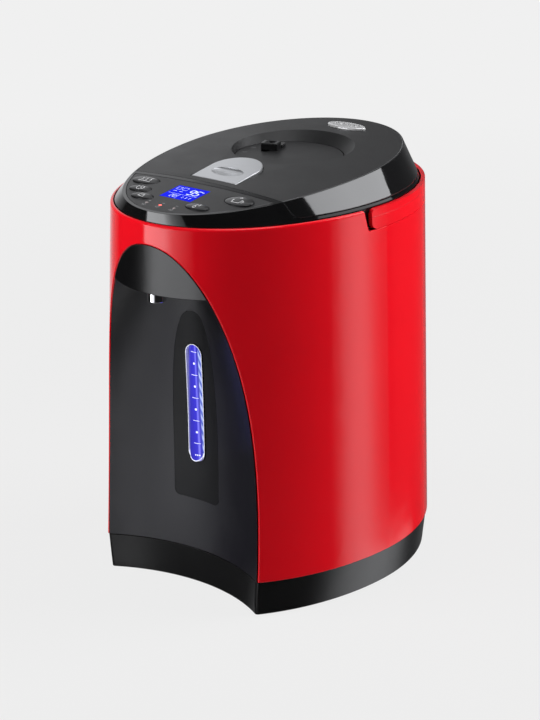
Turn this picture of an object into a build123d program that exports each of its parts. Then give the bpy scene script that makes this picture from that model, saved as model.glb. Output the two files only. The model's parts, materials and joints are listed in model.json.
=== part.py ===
from build123d import *
import os
from math import atan2, cos, degrees, hypot, radians, sin, sqrt

# Electric thermo pot, millimetres.  +Z is up, -Y is the front with the spout, +X is the user's right.
# The origin is on the table, under the place where the front and rear half ovals of the body meet.


def smaller(sizes, less):
    """Each of the sizes, less its own share of the second list."""
    return tuple(size - part for size, part in zip(sizes, less))


# ---- body: a tapered oval, given as (half width, front semi-axis, rear semi-axis) ----
SEAM_Z = 28.3                       # top of the base, bottom of the red shell
RIM_Z = 300.0                       # top edge of the red shell
BODY_HALF_WIDTH = 112.3             # at the seam, as the next two
BODY_FRONT = 156.0
BODY_REAR = 135.0
BODY_TAPER = (8.0, 8.1, 5.6)        # how much smaller the three are at the rim
BODY_AT_SEAM = (BODY_HALF_WIDTH, BODY_FRONT, BODY_REAR)
BODY_AT_RIM = smaller(BODY_AT_SEAM, BODY_TAPER)
SHELL_WALL = 2.4
RIM_ROUND = 2.0                     # rounding of the shell's top edge
LIP_ROUND = 1.0                     # rounding of the shell's edge along the arch
BASE_TUCK = (4.8, 1.0, 1.0)         # how much smaller the base is at the table
BASE_AT_TABLE = smaller(BODY_AT_SEAM, BASE_TUCK)
BASE_STEP = 0.8                     # the base stands back from the shell
BASE_LIFT = 1.0                     # air under the base, made by the feet
BASE_WALL = 2.6
BASE_CORNER_R = 2.4                 # rounding of the upright corners beside the cove
FIT = 0.3                           # clearance between neighbouring mouldings
RUN = 0.05                          # radial clearance of a pin in its hole

# ---- arch in the shell's front, and the cove behind it ----
ARCH_HALF_WIDTH = 74.3
ARCH_TOP = RIM_Z - 16.5
ARCH_POWER = 3.0                    # higher keeps the legs upright for longer
ARCH_ROUND = 0.465                  # lower makes the crown of the arch broader
COVE_DEPTH_Y = 60.8 - BODY_FRONT    # deepest line of the cove, on the centre plane
COVE_LEAN_Z = 90.0                  # above this height the cove bows forward
COVE_LEAN = 0.00028
COVE_LIP = 1.0                      # the cove meets the arch this far under the shell's surface
COVE_TABLE_HALF_WIDTH = 75.0        # where the cove meets the base's outline at the table
COVE_TABLE_LIP = 1.95
COVE_TABLE_DEPTH_Y = COVE_DEPTH_Y - 2.8
COVE_SECTIONS = (0.19, 0.37, 0.55, 0.71, 0.845, 0.95, 1.0)
PANEL_WALL = 2.4

# ---- spout cover and nozzle ----
NOSE_Z = RIM_Z - 52.7               # underside of the spout cover
NOSE_STEP = 0.5
NOSE_WALL = 2.2
NOSE_BACK_Y = COVE_DEPTH_Y - 3.8
NOZZLE_Y = 17.7 - BODY_FRONT
NOZZLE_R = 7.0
NOZZLE_BORE_R = 4.6
NOZZLE_END_Z = NOSE_Z - 7.9
PIPE_R = 4.2
PIPE_WALL = 1.0

# ---- level gauge ----
GAUGE_LOW_Z = 100.4                 # lower and upper end of the white rim
GAUGE_HIGH_Z = NOSE_Z - 51.1
GAUGE_HALF_WIDTH = 8.6
GAUGE_RIM = 1.3
GAUGE_RIM_PROUD = 0.7
GAUGE_LENS_BULGE_R = 10.0
PLATE_T = 0.8
PLATE_LOW_Z = 69.5
PLATE_HIGH_Z = NOSE_Z - 25.3
PLATE_LOW_HALF = 21.8
PLATE_HIGH_HALF = 11.0
PLATE_SHOULDER_Z = PLATE_HIGH_Z - 54.0
TUBE_Y = COVE_DEPTH_Y + 10.7
TUBE_R = 4.6
TUBE_WALL = 1.0

# ---- top: lower outline, upper outline on a tilted chord plane, and a crowned surface ----
COLLAR_LOW_Z = RIM_Z - 16.0
DECK_Z = RIM_Z + 0.5
DECK_T = 3.0
COLLAR_STEP = (1.2, 0.5, 3.5)       # room between the shell's wall and the collar
TOP_LEAN = (15.0, 0.4, 6.7)         # how much smaller the outline is at the crown's edge
TOP_LOW = smaller(BODY_AT_RIM, [SHELL_WALL + step for step in COLLAR_STEP])
TOP_HIGH = smaller(TOP_LOW, TOP_LEAN)
TOP_EXTRA = 5.0                     # the side wall is drawn this far past the chord plane, then cut
CROWN_RISE = 5.5
CROWN_HALF_WIDTH = TOP_HIGH[0] + 12.3
CROWN_HALF_LENGTH = (TOP_HIGH[1] + TOP_HIGH[2]) / 2 + 0.3
CROWN_Y = (TOP_HIGH[2] - TOP_HIGH[1]) / 2
CROWN_Z = RIM_Z + 16.8              # height of the chord plane at CROWN_Y
CROWN_TILT = 3.94
CROWN_DEPTH = 40.0                  # vertical semi-axis of the ellipsoid that the crown is cut from
JOINT_Y = 64.0 - TOP_HIGH[1]        # parting between lid and control panel
JOINT_GAP = 0.5
LID_LOW_Z = DECK_Z + 2.1
LID_CORNER_R = 5.0                  # the parting line turns through this radius at the lid's front corners
TOP_WALL = 2.6

# ---- control panel ----
PANEL_INSET = 3.0
PANEL_JOINT_INSET = 5.2
PANEL_T = 1.8
PANEL_GROOVE = 0.4
PANEL_SEAT = 1.4
PANEL_Y = JOINT_Y - 25.4
DISPLAY = (29.2, 23.0)
DISPLAY_T = 1.3
BUTTON_TRAVEL = 0.8
BUTTON_GAP = 0.25
BUTTON_RISE = 1.3
BUTTONS = {                         # centre x, centre y, half length, half width
    "button_boil": (-45.7, JOINT_Y - 15.9, 12.3, 6.7),
    "button_timer": (-37.7, JOINT_Y - 31.4, 9.9, 5.4),
    "button_lock": (-25.9, JOINT_Y - 42.8, 10.0, 5.3),
    "button_temperature": (25.6, JOINT_Y - 41.8, 10.3, 5.7),
    "button_dispense": (45.0, JOINT_Y - 17.8, 11.9, 8.6),
}
LED_Y = JOINT_Y - 51.0
LED_X = (-14.5, -1.5, 11.5)
LED_R = 1.2
BOARD_DROP = 11.0                   # control board's upper face, under the panel plane
BOARD_T = 1.6
SWITCH_H = 4.2

# ---- inner pot, mouth and heater ----
POT_Y = 16.5
POT_R = 88.0
POT_WALL = 1.0
POT_FLOOR_Z = 64.0
POT_SHOULDER_Z = RIM_Z - 19.0
MOUTH_R = POT_R - 8.0
POT_LIP_Z = RIM_Z - 8.0
POT_LIP_R = MOUTH_R + 6.0
POT_SPIGOT_Y = POT_Y - POT_R + 16.5
SPIGOT_R = 5.0
HEATER_R = POT_R - 26.0
HEATER_T = 6.0
JACKET_R = POT_R + 0.4
JACKET_T = 1.6

# ---- lid parts ----
BAND_EDGE = 1.1                     # width of the glossy edge that frames the matt lid cover
BAND_WALL = 3.0
COVER_T = 2.0
COVER_GAP = 0.2
INNER_PANEL_T = 1.6
INNER_PLATE_Z = LID_LOW_Z - 4.6
INNER_PLATE_R = MOUTH_R - 4.0
GASKET_IN_R = MOUTH_R + 3.0
GASKET_OUT_R = MOUTH_R + 8.0
HINGE_Y = TOP_LOW[2] - 10.0
HINGE_Z = LID_LOW_Z + 3.9
HINGE_R = 3.4
HINGE_PIN_R = 1.6
HINGE_BLOCK_HALF = 14.0
HINGE_HALF = 22.0
TROUGH_HALF = 40.0
TROUGH_Z = RIM_Z - 4.0
TROUGH_FRONT = 8.0                  # the trough starts this far ahead of the hinge line
VENT_Y = HINGE_Y - 24.5
VENT_HALF = (17.5, 8.2)
VENT_RISE = 1.7
VENT_SINK = 0.6
DUCT_R = 6.0

# ---- air pump in the lid ----
PUMP_Y = 16.3
PUMP_R = 41.7
PUMP_TOP_Z = RIM_Z + 18.0
PUMP_TRAVEL = 18.0
PUMP_PLATE_T = 2.5
PUMP_SKIRT = 8.0
RECESS_R = PUMP_R + 0.4
RECESS_RIM = (RECESS_R + 6.9, RECESS_R + 4.9)
RECESS_RIM_Z = PUMP_TOP_Z + 7.0
RECESS_RIM_Y = PUMP_Y + 3.7
PUMP_CUP_R = RECESS_R + 3.9
PUMP_CUP_WALL = 2.0
PUMP_CUP_FLOOR_Z = PUMP_TOP_Z - 46.0
BELLOWS_R = PUMP_R - 3.7
BELLOWS_FOLD = 7.0
PUMP_POST_R = 5.0
KNOB_SIZE = (13.5, 10.5, 5.5)
KNOB_PLACE = (-22.0, 5.0)           # from the centre of the pump plate
KNOB_TURN = 20.0
KNOB_TRAVEL = 18.0                  # degrees round the plate's centre, from open to locked
KNOB_STEM = 2.5

# ---- lid release lever and its latch ----
LEVER_HALF = 21.4
LEVER_FRONT_Y = JOINT_Y + 6.6
LEVER_BACK_Y = LEVER_FRONT_Y + 45.6
LEVER_RISE = 3.6                    # degrees; flush at the front, proud of the lid at the back
LEVER_T = 2.6
LEVER_GAP = 0.6
LEVER_PIN_Y = LEVER_BACK_Y - 4.6
LEVER_PIN_R = 1.5
LEVER_BOSS_R = 2.7
LEVER_BOSS_HALF = 7.0
LEVER_DROP = 5.0                    # the pin is this far under the crown
DIMPLE = (15.0, 9.0, 2.6)
DIMPLE_Y = LEVER_FRONT_Y + 15.0
TUB_DEPTH = 8.6
TUB_WALL = 1.3
LATCH_Z = LID_LOW_Z + 2.2
LATCH_T = 2.0
LATCH_HALF = 6.0
FINGER_Y = LEVER_FRONT_Y + 9.0      # front face of the lever's wedge finger
FINGER_LENGTH = 6.0
FINGER_HALF = 2.5
FINGER_TIP_Z = LATCH_Z + 1.5
LATCH_BACK_Y = FINGER_Y + 11.0

# ---- carry handle ----
HANDLE_T = 3.2
HANDLE_LOW_Z = RIM_Z - 16.0
HANDLE_HIGH_Z = RIM_Z - 0.4
HANDLE_PIVOT_Y = -11.0
HANDLE_PIVOT_Z = RIM_Z - 10.0
HANDLE_END_R = 6.0
HANDLE_TOP_R = 4.0
HANDLE_PIN_R = 3.0
HANDLE_SKIN = 1.5                   # what is left of the handle outside the pin's blind hole
NOTCH_TOP_Y = HANDLE_PIVOT_Y - 15.0
NOTCH_LOW_Y = HANDLE_PIVOT_Y - 10.0
NOTCH_R = 3.0

# ---- underside, pump and electrics ----
FLOOR_Z = 1.5
FLOOR_T = 2.2
FOOT_RING_R = 80.0                  # rubber ring that the pot stands and turns on
FOOT_RING_Y = 2.0
FOOT_RING_WIDTH = 9.0
FOOT_RIB = (3.0, 1.2)               # width and height of the rib that seats it in the bottom cover
FLOOR_SLOTS = (5, 12.0, 64.0, 4.0)  # count, pitch, length and width
FLOOR_SLOT_Y = -22.0
MOTOR_R = 13.5
PUMP_HEAD_R = 17.0
PUMP_HEAD_Z = (38.0, 54.0)
BOARD_PLACE = (-44.0, 22.0)
BOARD_SIZE = (56.0, 60.0)
BOARD_STAND = 6.0
INLET_Z = 47.0
INLET_SIZE = (40.0, 26.0)
INLET_WELL = (30.0, 17.0, 15.0)
INLET_PIN_R = 2.0
INLET_PIN_X = (-8.0, 8.0)
POST_RING_R = 78.0
POST_R = 5.0
REACH = 400.0                       # longer than the whole pot, for cuts that go right through


# ======== helpers ========

def oval(sizes, plane, inset=0.0):
    """Face made of a front and a rear half ellipse that share their width."""
    width, front, rear = (size - inset for size in sizes)
    rear_half = EllipticalCenterArc((0, 0), width, rear, start_angle=0, arc_size=180)
    front_half = EllipticalCenterArc((0, 0), width, front, start_angle=180, arc_size=180)
    return plane * make_face([rear_half, front_half])


def level(z):
    return Plane.XY.offset(z)


def body_sizes(z):
    share = (z - SEAM_Z) / (RIM_Z - SEAM_Z)
    return tuple(low + (high - low) * share for low, high in zip(BODY_AT_SEAM, BODY_AT_RIM))


def body_form(z_low, z_high, inset=0.0):
    """Solid body outline between two heights."""
    ends = [oval(body_sizes(z), level(z), inset) for z in (z_low, z_high)]
    return loft(ends, ruled=True)


def side_prism(face):
    """Extrudes a face drawn on the YZ plane right through the pot, along X."""
    return extrude(face, REACH / 2, both=True)


def side_box(y_low, y_high, z_low, z_high):
    """Face on the YZ plane with the given corners."""
    middle = ((y_low + y_high) / 2, (z_low + z_high) / 2)
    return Plane.YZ * (Pos(*middle) * Rectangle(y_high - y_low, z_high - z_low))


def corner(face, y, z):
    """The vertex of a YZ face that lies nearest to (y, z)."""
    return min(face.vertices(), key=lambda v: hypot(v.Y - y, v.Z - z))


def block(x_low, x_high, y_low, y_high, z_low, z_high):
    size = (x_high - x_low, y_high - y_low, z_high - z_low)
    middle = ((x_low + x_high) / 2, (y_low + y_high) / 2, (z_low + z_high) / 2)
    return Pos(*middle) * Box(*size)


def rod(radius, z_low, z_high, x=0.0, y=0.0):
    return Pos(x, y, (z_low + z_high) / 2) * Cylinder(radius, z_high - z_low)


def tube(outer, inner, z_low, z_high, x=0.0, y=0.0):
    return rod(outer, z_low, z_high, x, y) - rod(inner, z_low - 1, z_high + 1, x, y)


def cross_rod(radius, x_low, x_high, y, z):
    """Cylinder along X."""
    return Pos((x_low + x_high) / 2, y, z) * Rot(0, 90, 0) * Cylinder(radius, x_high - x_low)


def both_sides(shape):
    """The shape and its mirror image across the centre plane."""
    return [shape, mirror(shape, about=Plane.YZ)]


def turned(points, x=0.0, y=0.0):
    """Solid of revolution about a vertical axis through (x, y); points are (radius, z)."""
    outline = make_face(Polyline(*[(r, 0, z) for r, z in points], close=True))
    return Pos(x, y, 0) * revolve(outline, Axis.Z)


def pipe(points, radius, wall, bend):
    """Hollow pipe along a bent centre line."""
    line = FilletPolyline(*points, radius=bend)
    start = Plane(origin=line @ 0, z_dir=line % 0)
    ring = start * (Circle(radius) - Circle(radius - wall))
    return sweep(ring, path=line)


# ======== arch and cove ========

def arch_half_width(z, inset=0.0):
    share = min(max(z / (ARCH_TOP - inset), 0.0), 1.0)
    return (ARCH_HALF_WIDTH - inset) * (1 - share ** ARCH_POWER) ** ARCH_ROUND


def arch_prism(inset=0.0):
    """The arch, as a prism that runs through the body's front wall."""
    shares = (0.0, 0.3, 0.5, 0.66, 0.79, 0.89, 0.955, 0.99)
    top = ARCH_TOP - inset
    right = [(arch_half_width(share * top, inset), share * top) for share in shares]
    left = [(-x, z) for x, z in reversed(right)]
    curve = Spline(*right, (0, top), *left, tangents=((0, 1), (0, -1)))
    outline = make_face([curve, Line(left[-1], right[0])])
    return extrude(Plane.XZ.offset(60) * outline, REACH / 2)


def cove_depth(z):
    return COVE_DEPTH_Y - COVE_LEAN * max(z - COVE_LEAN_Z, 0.0) ** 2


def cove_circle(z):
    """Radius and centre y of the cove's horizontal section."""
    if z <= 0.0:
        half, front, _ = BASE_AT_TABLE
        edge_x = COVE_TABLE_HALF_WIDTH
        edge_y = -COVE_TABLE_LIP - front * sqrt(1 - (edge_x / half) ** 2)
        depth = COVE_TABLE_DEPTH_Y
    else:
        half, front, _ = body_sizes(z)
        edge_x = arch_half_width(z)
        edge_y = COVE_LIP - front * sqrt(1 - (edge_x / half) ** 2)
        depth = cove_depth(z)
    rise = depth - edge_y
    radius = (edge_x ** 2 + rise ** 2) / (2 * rise)
    return radius, depth - radius


def cove(extra=0.0):
    """The space in front of the pot that the front panel curves round."""
    heights = [SEAM_Z + share * (NOSE_Z + 2 - SEAM_Z) for share in COVE_SECTIONS]
    rings = []
    for z in [0.0, SEAM_Z] + heights:
        radius, centre = cove_circle(z)
        rings.append(level(z) * Pos(0, centre) * Circle(radius + extra))
    return loft(rings)


# ======== top form ========

def crown(drop=0.0):
    """Ellipsoid whose cap is the crowned top surface, lowered by drop."""
    below = CROWN_DEPTH - CROWN_RISE
    spread = sqrt(1 - (below / CROWN_DEPTH) ** 2)
    axes = (CROWN_HALF_WIDTH / spread, CROWN_HALF_LENGTH / spread, CROWN_DEPTH)
    ball = scale(Rot(0, 90, 0) * Sphere(1.0), by=axes)
    centre = Plane(origin=(0, CROWN_Y, CROWN_Z - drop), x_dir=(1, 0, 0), z_dir=crown_normal())
    return centre * Pos(0, 0, -below) * ball


def crown_normal():
    return (0, -sin(radians(CROWN_TILT)), cos(radians(CROWN_TILT)))


def crown_z(x, y):
    """Height of the crowned surface."""
    below = CROWN_DEPTH - CROWN_RISE
    spread = sqrt(1 - (below / CROWN_DEPTH) ** 2)
    along = (y - CROWN_Y) / cos(radians(CROWN_TILT))
    inside = 1 - (x * spread / CROWN_HALF_WIDTH) ** 2 - (along * spread / CROWN_HALF_LENGTH) ** 2
    rise = CROWN_DEPTH * sqrt(inside) - below
    return CROWN_Z + along * sin(radians(CROWN_TILT)) + rise * cos(radians(CROWN_TILT))


def top_form(inset=0.0):
    """Side walls of the collar's front and of the lid, open-ended upwards."""
    heights = [crown_z(*place) for place in ((TOP_HIGH[0], 0), (0, -TOP_HIGH[1]), (0, TOP_HIGH[2]))]
    leans = [(low - high) / (z - DECK_Z) for low, high, z in zip(TOP_LOW, TOP_HIGH, heights)]
    upper = tuple(size - lean * TOP_EXTRA for size, lean in zip(TOP_HIGH, leans))
    lifted = (0, 0, CROWN_Z - CROWN_Y * sin(radians(CROWN_TILT)) + TOP_EXTRA)
    sloped = Plane(origin=lifted, x_dir=(1, 0, 0), z_dir=crown_normal())
    return loft([oval(TOP_LOW, level(DECK_Z), inset), oval(upper, sloped, inset)], ruled=True)


def lid_zone(grow=0.0):
    """Everything behind the joint and above the lid's lower edge."""
    front = JOINT_Y + JOINT_GAP / 2 - grow
    low = LID_LOW_Z - grow
    face = side_box(front, REACH / 2, low, RIM_Z + REACH / 4)
    return side_prism(fillet(corner(face, front, low), LID_CORNER_R + grow))


def behind(y):
    return block(-REACH / 2, REACH / 2, y, REACH / 2, -REACH / 2, REACH)


def above(z):
    return block(-REACH / 2, REACH / 2, -REACH / 2, REACH / 2, z, REACH)


# ======== fixed body ========

def handle_notch():
    """Room for the folded handle: the shell's rim is lower behind a slanted edge."""
    low = HANDLE_LOW_Z - 0.4
    points = [(NOTCH_LOW_Y, low), (REACH / 2, low), (REACH / 2, RIM_Z + 2), (NOTCH_TOP_Y, RIM_Z + 2)]
    face = Plane.YZ * make_face(Polyline(*points, close=True))
    return side_prism(fillet(corner(face, NOTCH_LOW_Y, low), NOTCH_R))


def make_outer_shell():
    shell = body_form(SEAM_Z, RIM_Z)
    shell = fillet(shell.faces().sort_by(Axis.Z)[-1].edges(), RIM_ROUND)
    shell -= body_form(SEAM_Z - 1, RIM_Z + 1, SHELL_WALL)
    shell -= arch_prism()
    shell -= handle_notch()
    opening = (INLET_SIZE[0] + 2 * FIT, INLET_SIZE[1] + 2 * FIT)
    shell -= Pos(0, BODY_AT_SEAM[2], INLET_Z) * Box(opening[0], 30, opening[1])
    return fillet(lip_edges(shell), LIP_ROUND)


def lip_edges(shell):
    """Outer edges of the arch."""
    low, high = SEAM_Z + 1, ARCH_TOP + 1
    near = [e for e in shell.edges() if e.center().Y < -100 and low < e.center().Z < high]
    return [e for e in near if on_body(e @ 0.5) and e.length > 20]


def on_body(point):
    half, front, _ = body_sizes(point.Z)
    return abs(hypot(point.X / half, point.Y / front) - 1) < 0.002


def make_base_housing():
    top = tuple(size - BASE_STEP for size in BODY_AT_SEAM)
    high = SEAM_Z - 0.3
    outside = loft([oval(BASE_AT_TABLE, level(BASE_LIFT)), oval(top, level(high))], ruled=True)
    inside = loft([oval(BASE_AT_TABLE, level(BASE_LIFT - 1), BASE_WALL),
                   oval(top, level(high - 3), BASE_WALL)], ruled=True)
    opening = oval(top, level(high - 4), BASE_WALL + 8)
    walls = outside - cove()
    corners = walls.edges().filter_by(lambda e: e.center().Y < -105 and abs(e.center().X) > 70
                                      and e.bounding_box().size.Z > 20)
    walls = fillet(corners, BASE_CORNER_R) - (inside - cove(BASE_WALL))
    return walls - (extrude(opening, 10) - cove(BASE_WALL + 8))


def floor_outline(inset):
    plate = oval(BASE_AT_TABLE, level(FLOOR_Z), inset)
    return extrude(plate, FLOOR_T) - cove(inset)


def make_bottom_cover():
    plate = floor_outline(BASE_WALL + FIT)
    count, pitch, length, width = FLOOR_SLOTS
    for row in range(count):
        slot = extrude(SlotOverall(length, width), 3 * FLOOR_T, both=True)
        plate -= Pos(0, FLOOR_SLOT_Y + pitch * row, FLOOR_Z) * slot
    middle = FOOT_RING_R - FOOT_RING_WIDTH / 2
    half = FOOT_RIB[0] / 2 + FIT / 2
    groove = tube(middle + half, middle - half, FLOOR_Z - 1, FLOOR_Z + FOOT_RIB[1] + FIT / 2, 0, FOOT_RING_Y)
    return plate - groove


def make_foot_ring():
    outer = FOOT_RING_R
    inner = FOOT_RING_R - FOOT_RING_WIDTH
    middle = (outer + inner) / 2
    half = FOOT_RIB[0] / 2
    top = FLOOR_Z + FOOT_RIB[1]
    points = [(inner + 0.5, 0), (outer - 0.5, 0), (outer, 0.5), (outer, FLOOR_Z),
              (middle + half, FLOOR_Z), (middle + half, top), (middle - half, top), (middle - half, FLOOR_Z),
              (inner, FLOOR_Z), (inner, 0.5)]
    return turned(points, 0, FOOT_RING_Y)


def gauge_slot(inset=0.0):
    """Prism through the panel with the outline of the gauge window."""
    height = GAUGE_HIGH_Z - GAUGE_LOW_Z - 2 * inset
    width = 2 * (GAUGE_HALF_WIDTH - inset)
    face = Rot(0, 0, 90) * SlotOverall(height, width)
    return extrude(Plane.XZ.offset(60) * Pos(0, (GAUGE_HIGH_Z + GAUGE_LOW_Z) / 2) * face, 80)


def gauge_plate_prism(inset=0.0):
    """Outline of the satin plate round the gauge: it narrows to a round head."""
    low = PLATE_LOW_HALF - inset
    high = PLATE_HIGH_HALF - inset
    foot_z = PLATE_LOW_Z + inset
    head_z = PLATE_HIGH_Z - inset
    right = Spline((low, foot_z), (low, (foot_z + PLATE_SHOULDER_Z) / 2), (low - 1.6, PLATE_SHOULDER_Z),
                   (high, head_z - high * 0.75), tangents=((0, 1), (-0.5, 1)))
    head = ThreePointArc((high, head_z - high * 0.75), (0, head_z), (-high, head_z - high * 0.75))
    left = mirror(right, about=Plane.YZ)
    foot = Line((-low, foot_z), (low, foot_z))
    face = make_face([right, head, left, foot])
    face = fillet(face.vertices().sort_by(Axis.Y)[:2], 5)
    return extrude(Plane.XZ.offset(60) * face, 80)


def panel_skin(outer, inner):
    """Layer of the front panel between two depths behind the cove's surface."""
    layer = cove(inner) - cove(outer)
    layer &= body_form(SEAM_Z + 0.3, NOSE_Z - 0.4, COVE_LIP / 2)
    return layer


def make_front_panel():
    panel = panel_skin(0.0, PANEL_WALL) & arch_prism(FIT)
    panel -= gauge_plate_prism() & cove(PLATE_T)
    return panel - gauge_slot()


def make_gauge_plate():
    plate = (cove(PLATE_T) - cove()) & gauge_plate_prism(0.15)
    return plate - gauge_slot()


def make_gauge_bezel():
    ring = gauge_slot(0.15) - gauge_slot(GAUGE_RIM)
    return ring & (cove(PANEL_WALL) - cove(-GAUGE_RIM_PROUD))


def make_gauge_window():
    """Clear lens, bulged towards the viewer."""
    lens = gauge_slot(GAUGE_RIM + 0.1) & (cove(PANEL_WALL) - cove(-8))
    front = COVE_DEPTH_Y - 3.4
    return lens & rod(GAUGE_LENS_BULGE_R, GAUGE_LOW_Z, GAUGE_HIGH_Z, 0, front + GAUGE_LENS_BULGE_R)


def make_level_tube():
    return tube(TUBE_R, TUBE_R - TUBE_WALL, GAUGE_LOW_Z - 8, GAUGE_HIGH_Z + 8, 0, TUBE_Y)


def make_backlight():
    strip = block(-7, 7, TUBE_Y + TUBE_R + 1, TUBE_Y + TUBE_R + 2.6, GAUGE_LOW_Z + 2, GAUGE_HIGH_Z - 2)
    for z in (GAUGE_LOW_Z + 4, GAUGE_HIGH_Z - 8):
        clip = block(-7, 7, TUBE_Y - 1, TUBE_Y + TUBE_R + 1, z, z + 4)
        strip += clip - rod(TUBE_R + RUN, z - 1, z + 5, 0, TUBE_Y)
    return strip


def make_spout_cover():
    outside = body_form(NOSE_Z, ARCH_TOP, NOSE_STEP) & arch_prism(FIT)
    hollow = body_form(NOSE_Z + NOSE_WALL, ARCH_TOP, NOSE_STEP + NOSE_WALL) & arch_prism(FIT + NOSE_WALL)
    cover = (outside - hollow) - behind(NOSE_BACK_Y)
    return cover - rod(NOZZLE_R + RUN, NOSE_Z - 2, NOSE_Z + NOSE_WALL + 2, 0, NOZZLE_Y)


def make_nozzle():
    high = NOSE_Z + NOSE_WALL + 3
    points = [(NOZZLE_BORE_R, NOZZLE_END_Z), (NOZZLE_R - 0.6, NOZZLE_END_Z), (NOZZLE_R, NOZZLE_END_Z + 0.6),
              (NOZZLE_R, high), (NOZZLE_BORE_R, high)]
    return turned(points, 0, NOZZLE_Y)


def make_spout_pipe():
    high = NOSE_Z + 14
    points = [(0, TUBE_Y, GAUGE_HIGH_Z + 9), (0, TUBE_Y, high), (0, NOZZLE_Y, high),
              (0, NOZZLE_Y, NOSE_Z + 1)]
    return pipe(points, PIPE_R, PIPE_WALL, 9)


def make_lower_hose():
    z = (PUMP_HEAD_Z[0] + PUMP_HEAD_Z[1]) / 2
    points = [(0, POT_SPIGOT_Y - PUMP_HEAD_R - 0.1, z), (0, TUBE_Y, z), (0, TUBE_Y, GAUGE_LOW_Z - 8.2)]
    return pipe(points, PIPE_R, PIPE_WALL, 9)


# ======== collar, control panel ========

def skirt(inset, z_low, z_high):
    return extrude(oval(TOP_LOW, level(z_low), inset), z_high - z_low)


def make_collar_ring():
    raised = (top_form() & crown()) - lid_zone(JOINT_GAP)
    ring = skirt(0, COLLAR_LOW_Z, DECK_Z) + raised
    ring -= skirt(TOP_WALL, COLLAR_LOW_Z - 1, DECK_Z - DECK_T)
    inside = JOINT_Y - JOINT_GAP / 2
    ring -= skirt(TOP_WALL, DECK_Z, LID_LOW_Z + 1) & behind(inside)
    seat = inlay_form(PANEL_GROOVE) - crown(PANEL_T + 0.2)
    well = top_form(PANEL_INSET + PANEL_SEAT) & above(DECK_Z)
    ring -= seat
    well += skirt(PANEL_INSET + PANEL_SEAT, DECK_Z - DECK_T - 1, DECK_Z + 0.1)
    ring -= well - behind(JOINT_Y - PANEL_JOINT_INSET - PANEL_SEAT)
    ring -= rod(MOUTH_R + 1, COLLAR_LOW_Z, LID_LOW_Z + 2, 0, POT_Y)
    front = HINGE_Y - TROUGH_FRONT
    ring -= block(-TROUGH_HALF, TROUGH_HALF, front, REACH / 2, TROUGH_Z, LID_LOW_Z + 2)
    ring += skirt(0, TROUGH_Z - DECK_T, TROUGH_Z) & block(
        -TROUGH_HALF - DECK_T, TROUGH_HALF + DECK_T, front - DECK_T, REACH / 2, 0, REACH)
    ring -= block(-LATCH_HALF - 1, LATCH_HALF + 1, JOINT_Y - 4.5, JOINT_Y + 2,
                  LATCH_Z - 0.6, LATCH_Z + LATCH_T + 0.6)
    bore_from = TOP_LOW[0] - TOP_WALL - 8
    bore = cross_rod(HANDLE_PIN_R + RUN, bore_from, bore_from + 20, HANDLE_PIVOT_Y, HANDLE_PIVOT_Z)
    for side in both_sides(bore):
        ring -= side
    return ring


def inlay_form(grow=0.0):
    """Outline of the control panel's inlay, as a tall solid."""
    form = top_form(PANEL_INSET - grow) & above(DECK_Z)
    return form - behind(JOINT_Y - PANEL_JOINT_INSET + grow)


def crown_slope(y):
    """Rise of the crown per millimetre towards the back, on the centre plane."""
    return (crown_z(0, y + 1) - crown_z(0, y - 1)) / 2


def crown_plane(x, y, slope_y):
    """Plane through the crown above (x, y), tilted like the crown is at slope_y."""
    slope = crown_slope(slope_y)
    return Plane(origin=(x, y, crown_z(x, y)), x_dir=(1, 0, 0), z_dir=(0, -slope, 1))


def panel_plane(x=0.0, y=PANEL_Y):
    """Plane of the control panel, through the crowned surface above the point given."""
    return crown_plane(x, y, PANEL_Y)


def make_control_panel():
    panel = (inlay_form() & crown(0.1)) - crown(PANEL_T + 0.1)
    for x, y, length, width in BUTTONS.values():
        hole = Ellipse(length + BUTTON_GAP, width + BUTTON_GAP)
        panel -= panel_plane(x, y) * extrude(hole, 6, both=True)
    panel -= panel_plane() * Box(DISPLAY[0] + 0.2, DISPLAY[1] + 0.2, 12)
    for x in LED_X:
        panel -= panel_plane(x, LED_Y) * Cylinder(LED_R + RUN, 12)
    return panel


def make_display_window():
    return panel_plane() * Pos(0, 0, -0.15 - DISPLAY_T / 2) * Box(*DISPLAY, DISPLAY_T)


def make_display_module():
    size = (DISPLAY[0] + 2, DISPLAY[1] + 2, 3.0)
    return panel_plane() * Pos(0, 0, -PANEL_T - 0.6 - size[2] / 2) * Box(*size)


def make_button(x, y, length, width):
    """Domed cap, a skirt that holds it under the panel, and a stem over its switch."""
    flat = panel_plane(x, y)
    cap_low = PANEL_T + 1.0
    dome = scale(Sphere(1.0), by=(length, width, BUTTON_RISE)) & Pos(0, 0, 5) * Box(60, 60, 10)
    cap = extrude(Ellipse(length, width), -cap_low - 0.8) + dome
    cap += Pos(0, 0, -cap_low) * extrude(Ellipse(length + 0.7, width + 0.7), -0.8)
    rest = board_level(x, y) + SWITCH_H + BUTTON_TRAVEL + 0.3
    cap += Pos(0, 0, (rest - cap_low) / 2) * Cylinder(1.8, -cap_low - rest)
    return flat * cap


def board_level(x, y):
    """Height of the control board's upper face, measured from the panel plane at (x, y)."""
    slope = crown_slope(PANEL_Y)
    drop = crown_z(x, y) - crown_z(0, PANEL_Y) - (y - PANEL_Y) * slope
    return -BOARD_DROP - drop / hypot(1, slope)


def make_control_board():
    board = panel_plane() * Pos(0, 0, -BOARD_DROP - BOARD_T / 2) * Box(REACH / 2, REACH / 2, BOARD_T)
    board &= skirt(PANEL_INSET + PANEL_SEAT + 5.5, DECK_Z - 20, DECK_Z + 20)
    board -= behind(JOINT_Y - PANEL_JOINT_INSET - PANEL_SEAT - 2)
    return board


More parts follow.
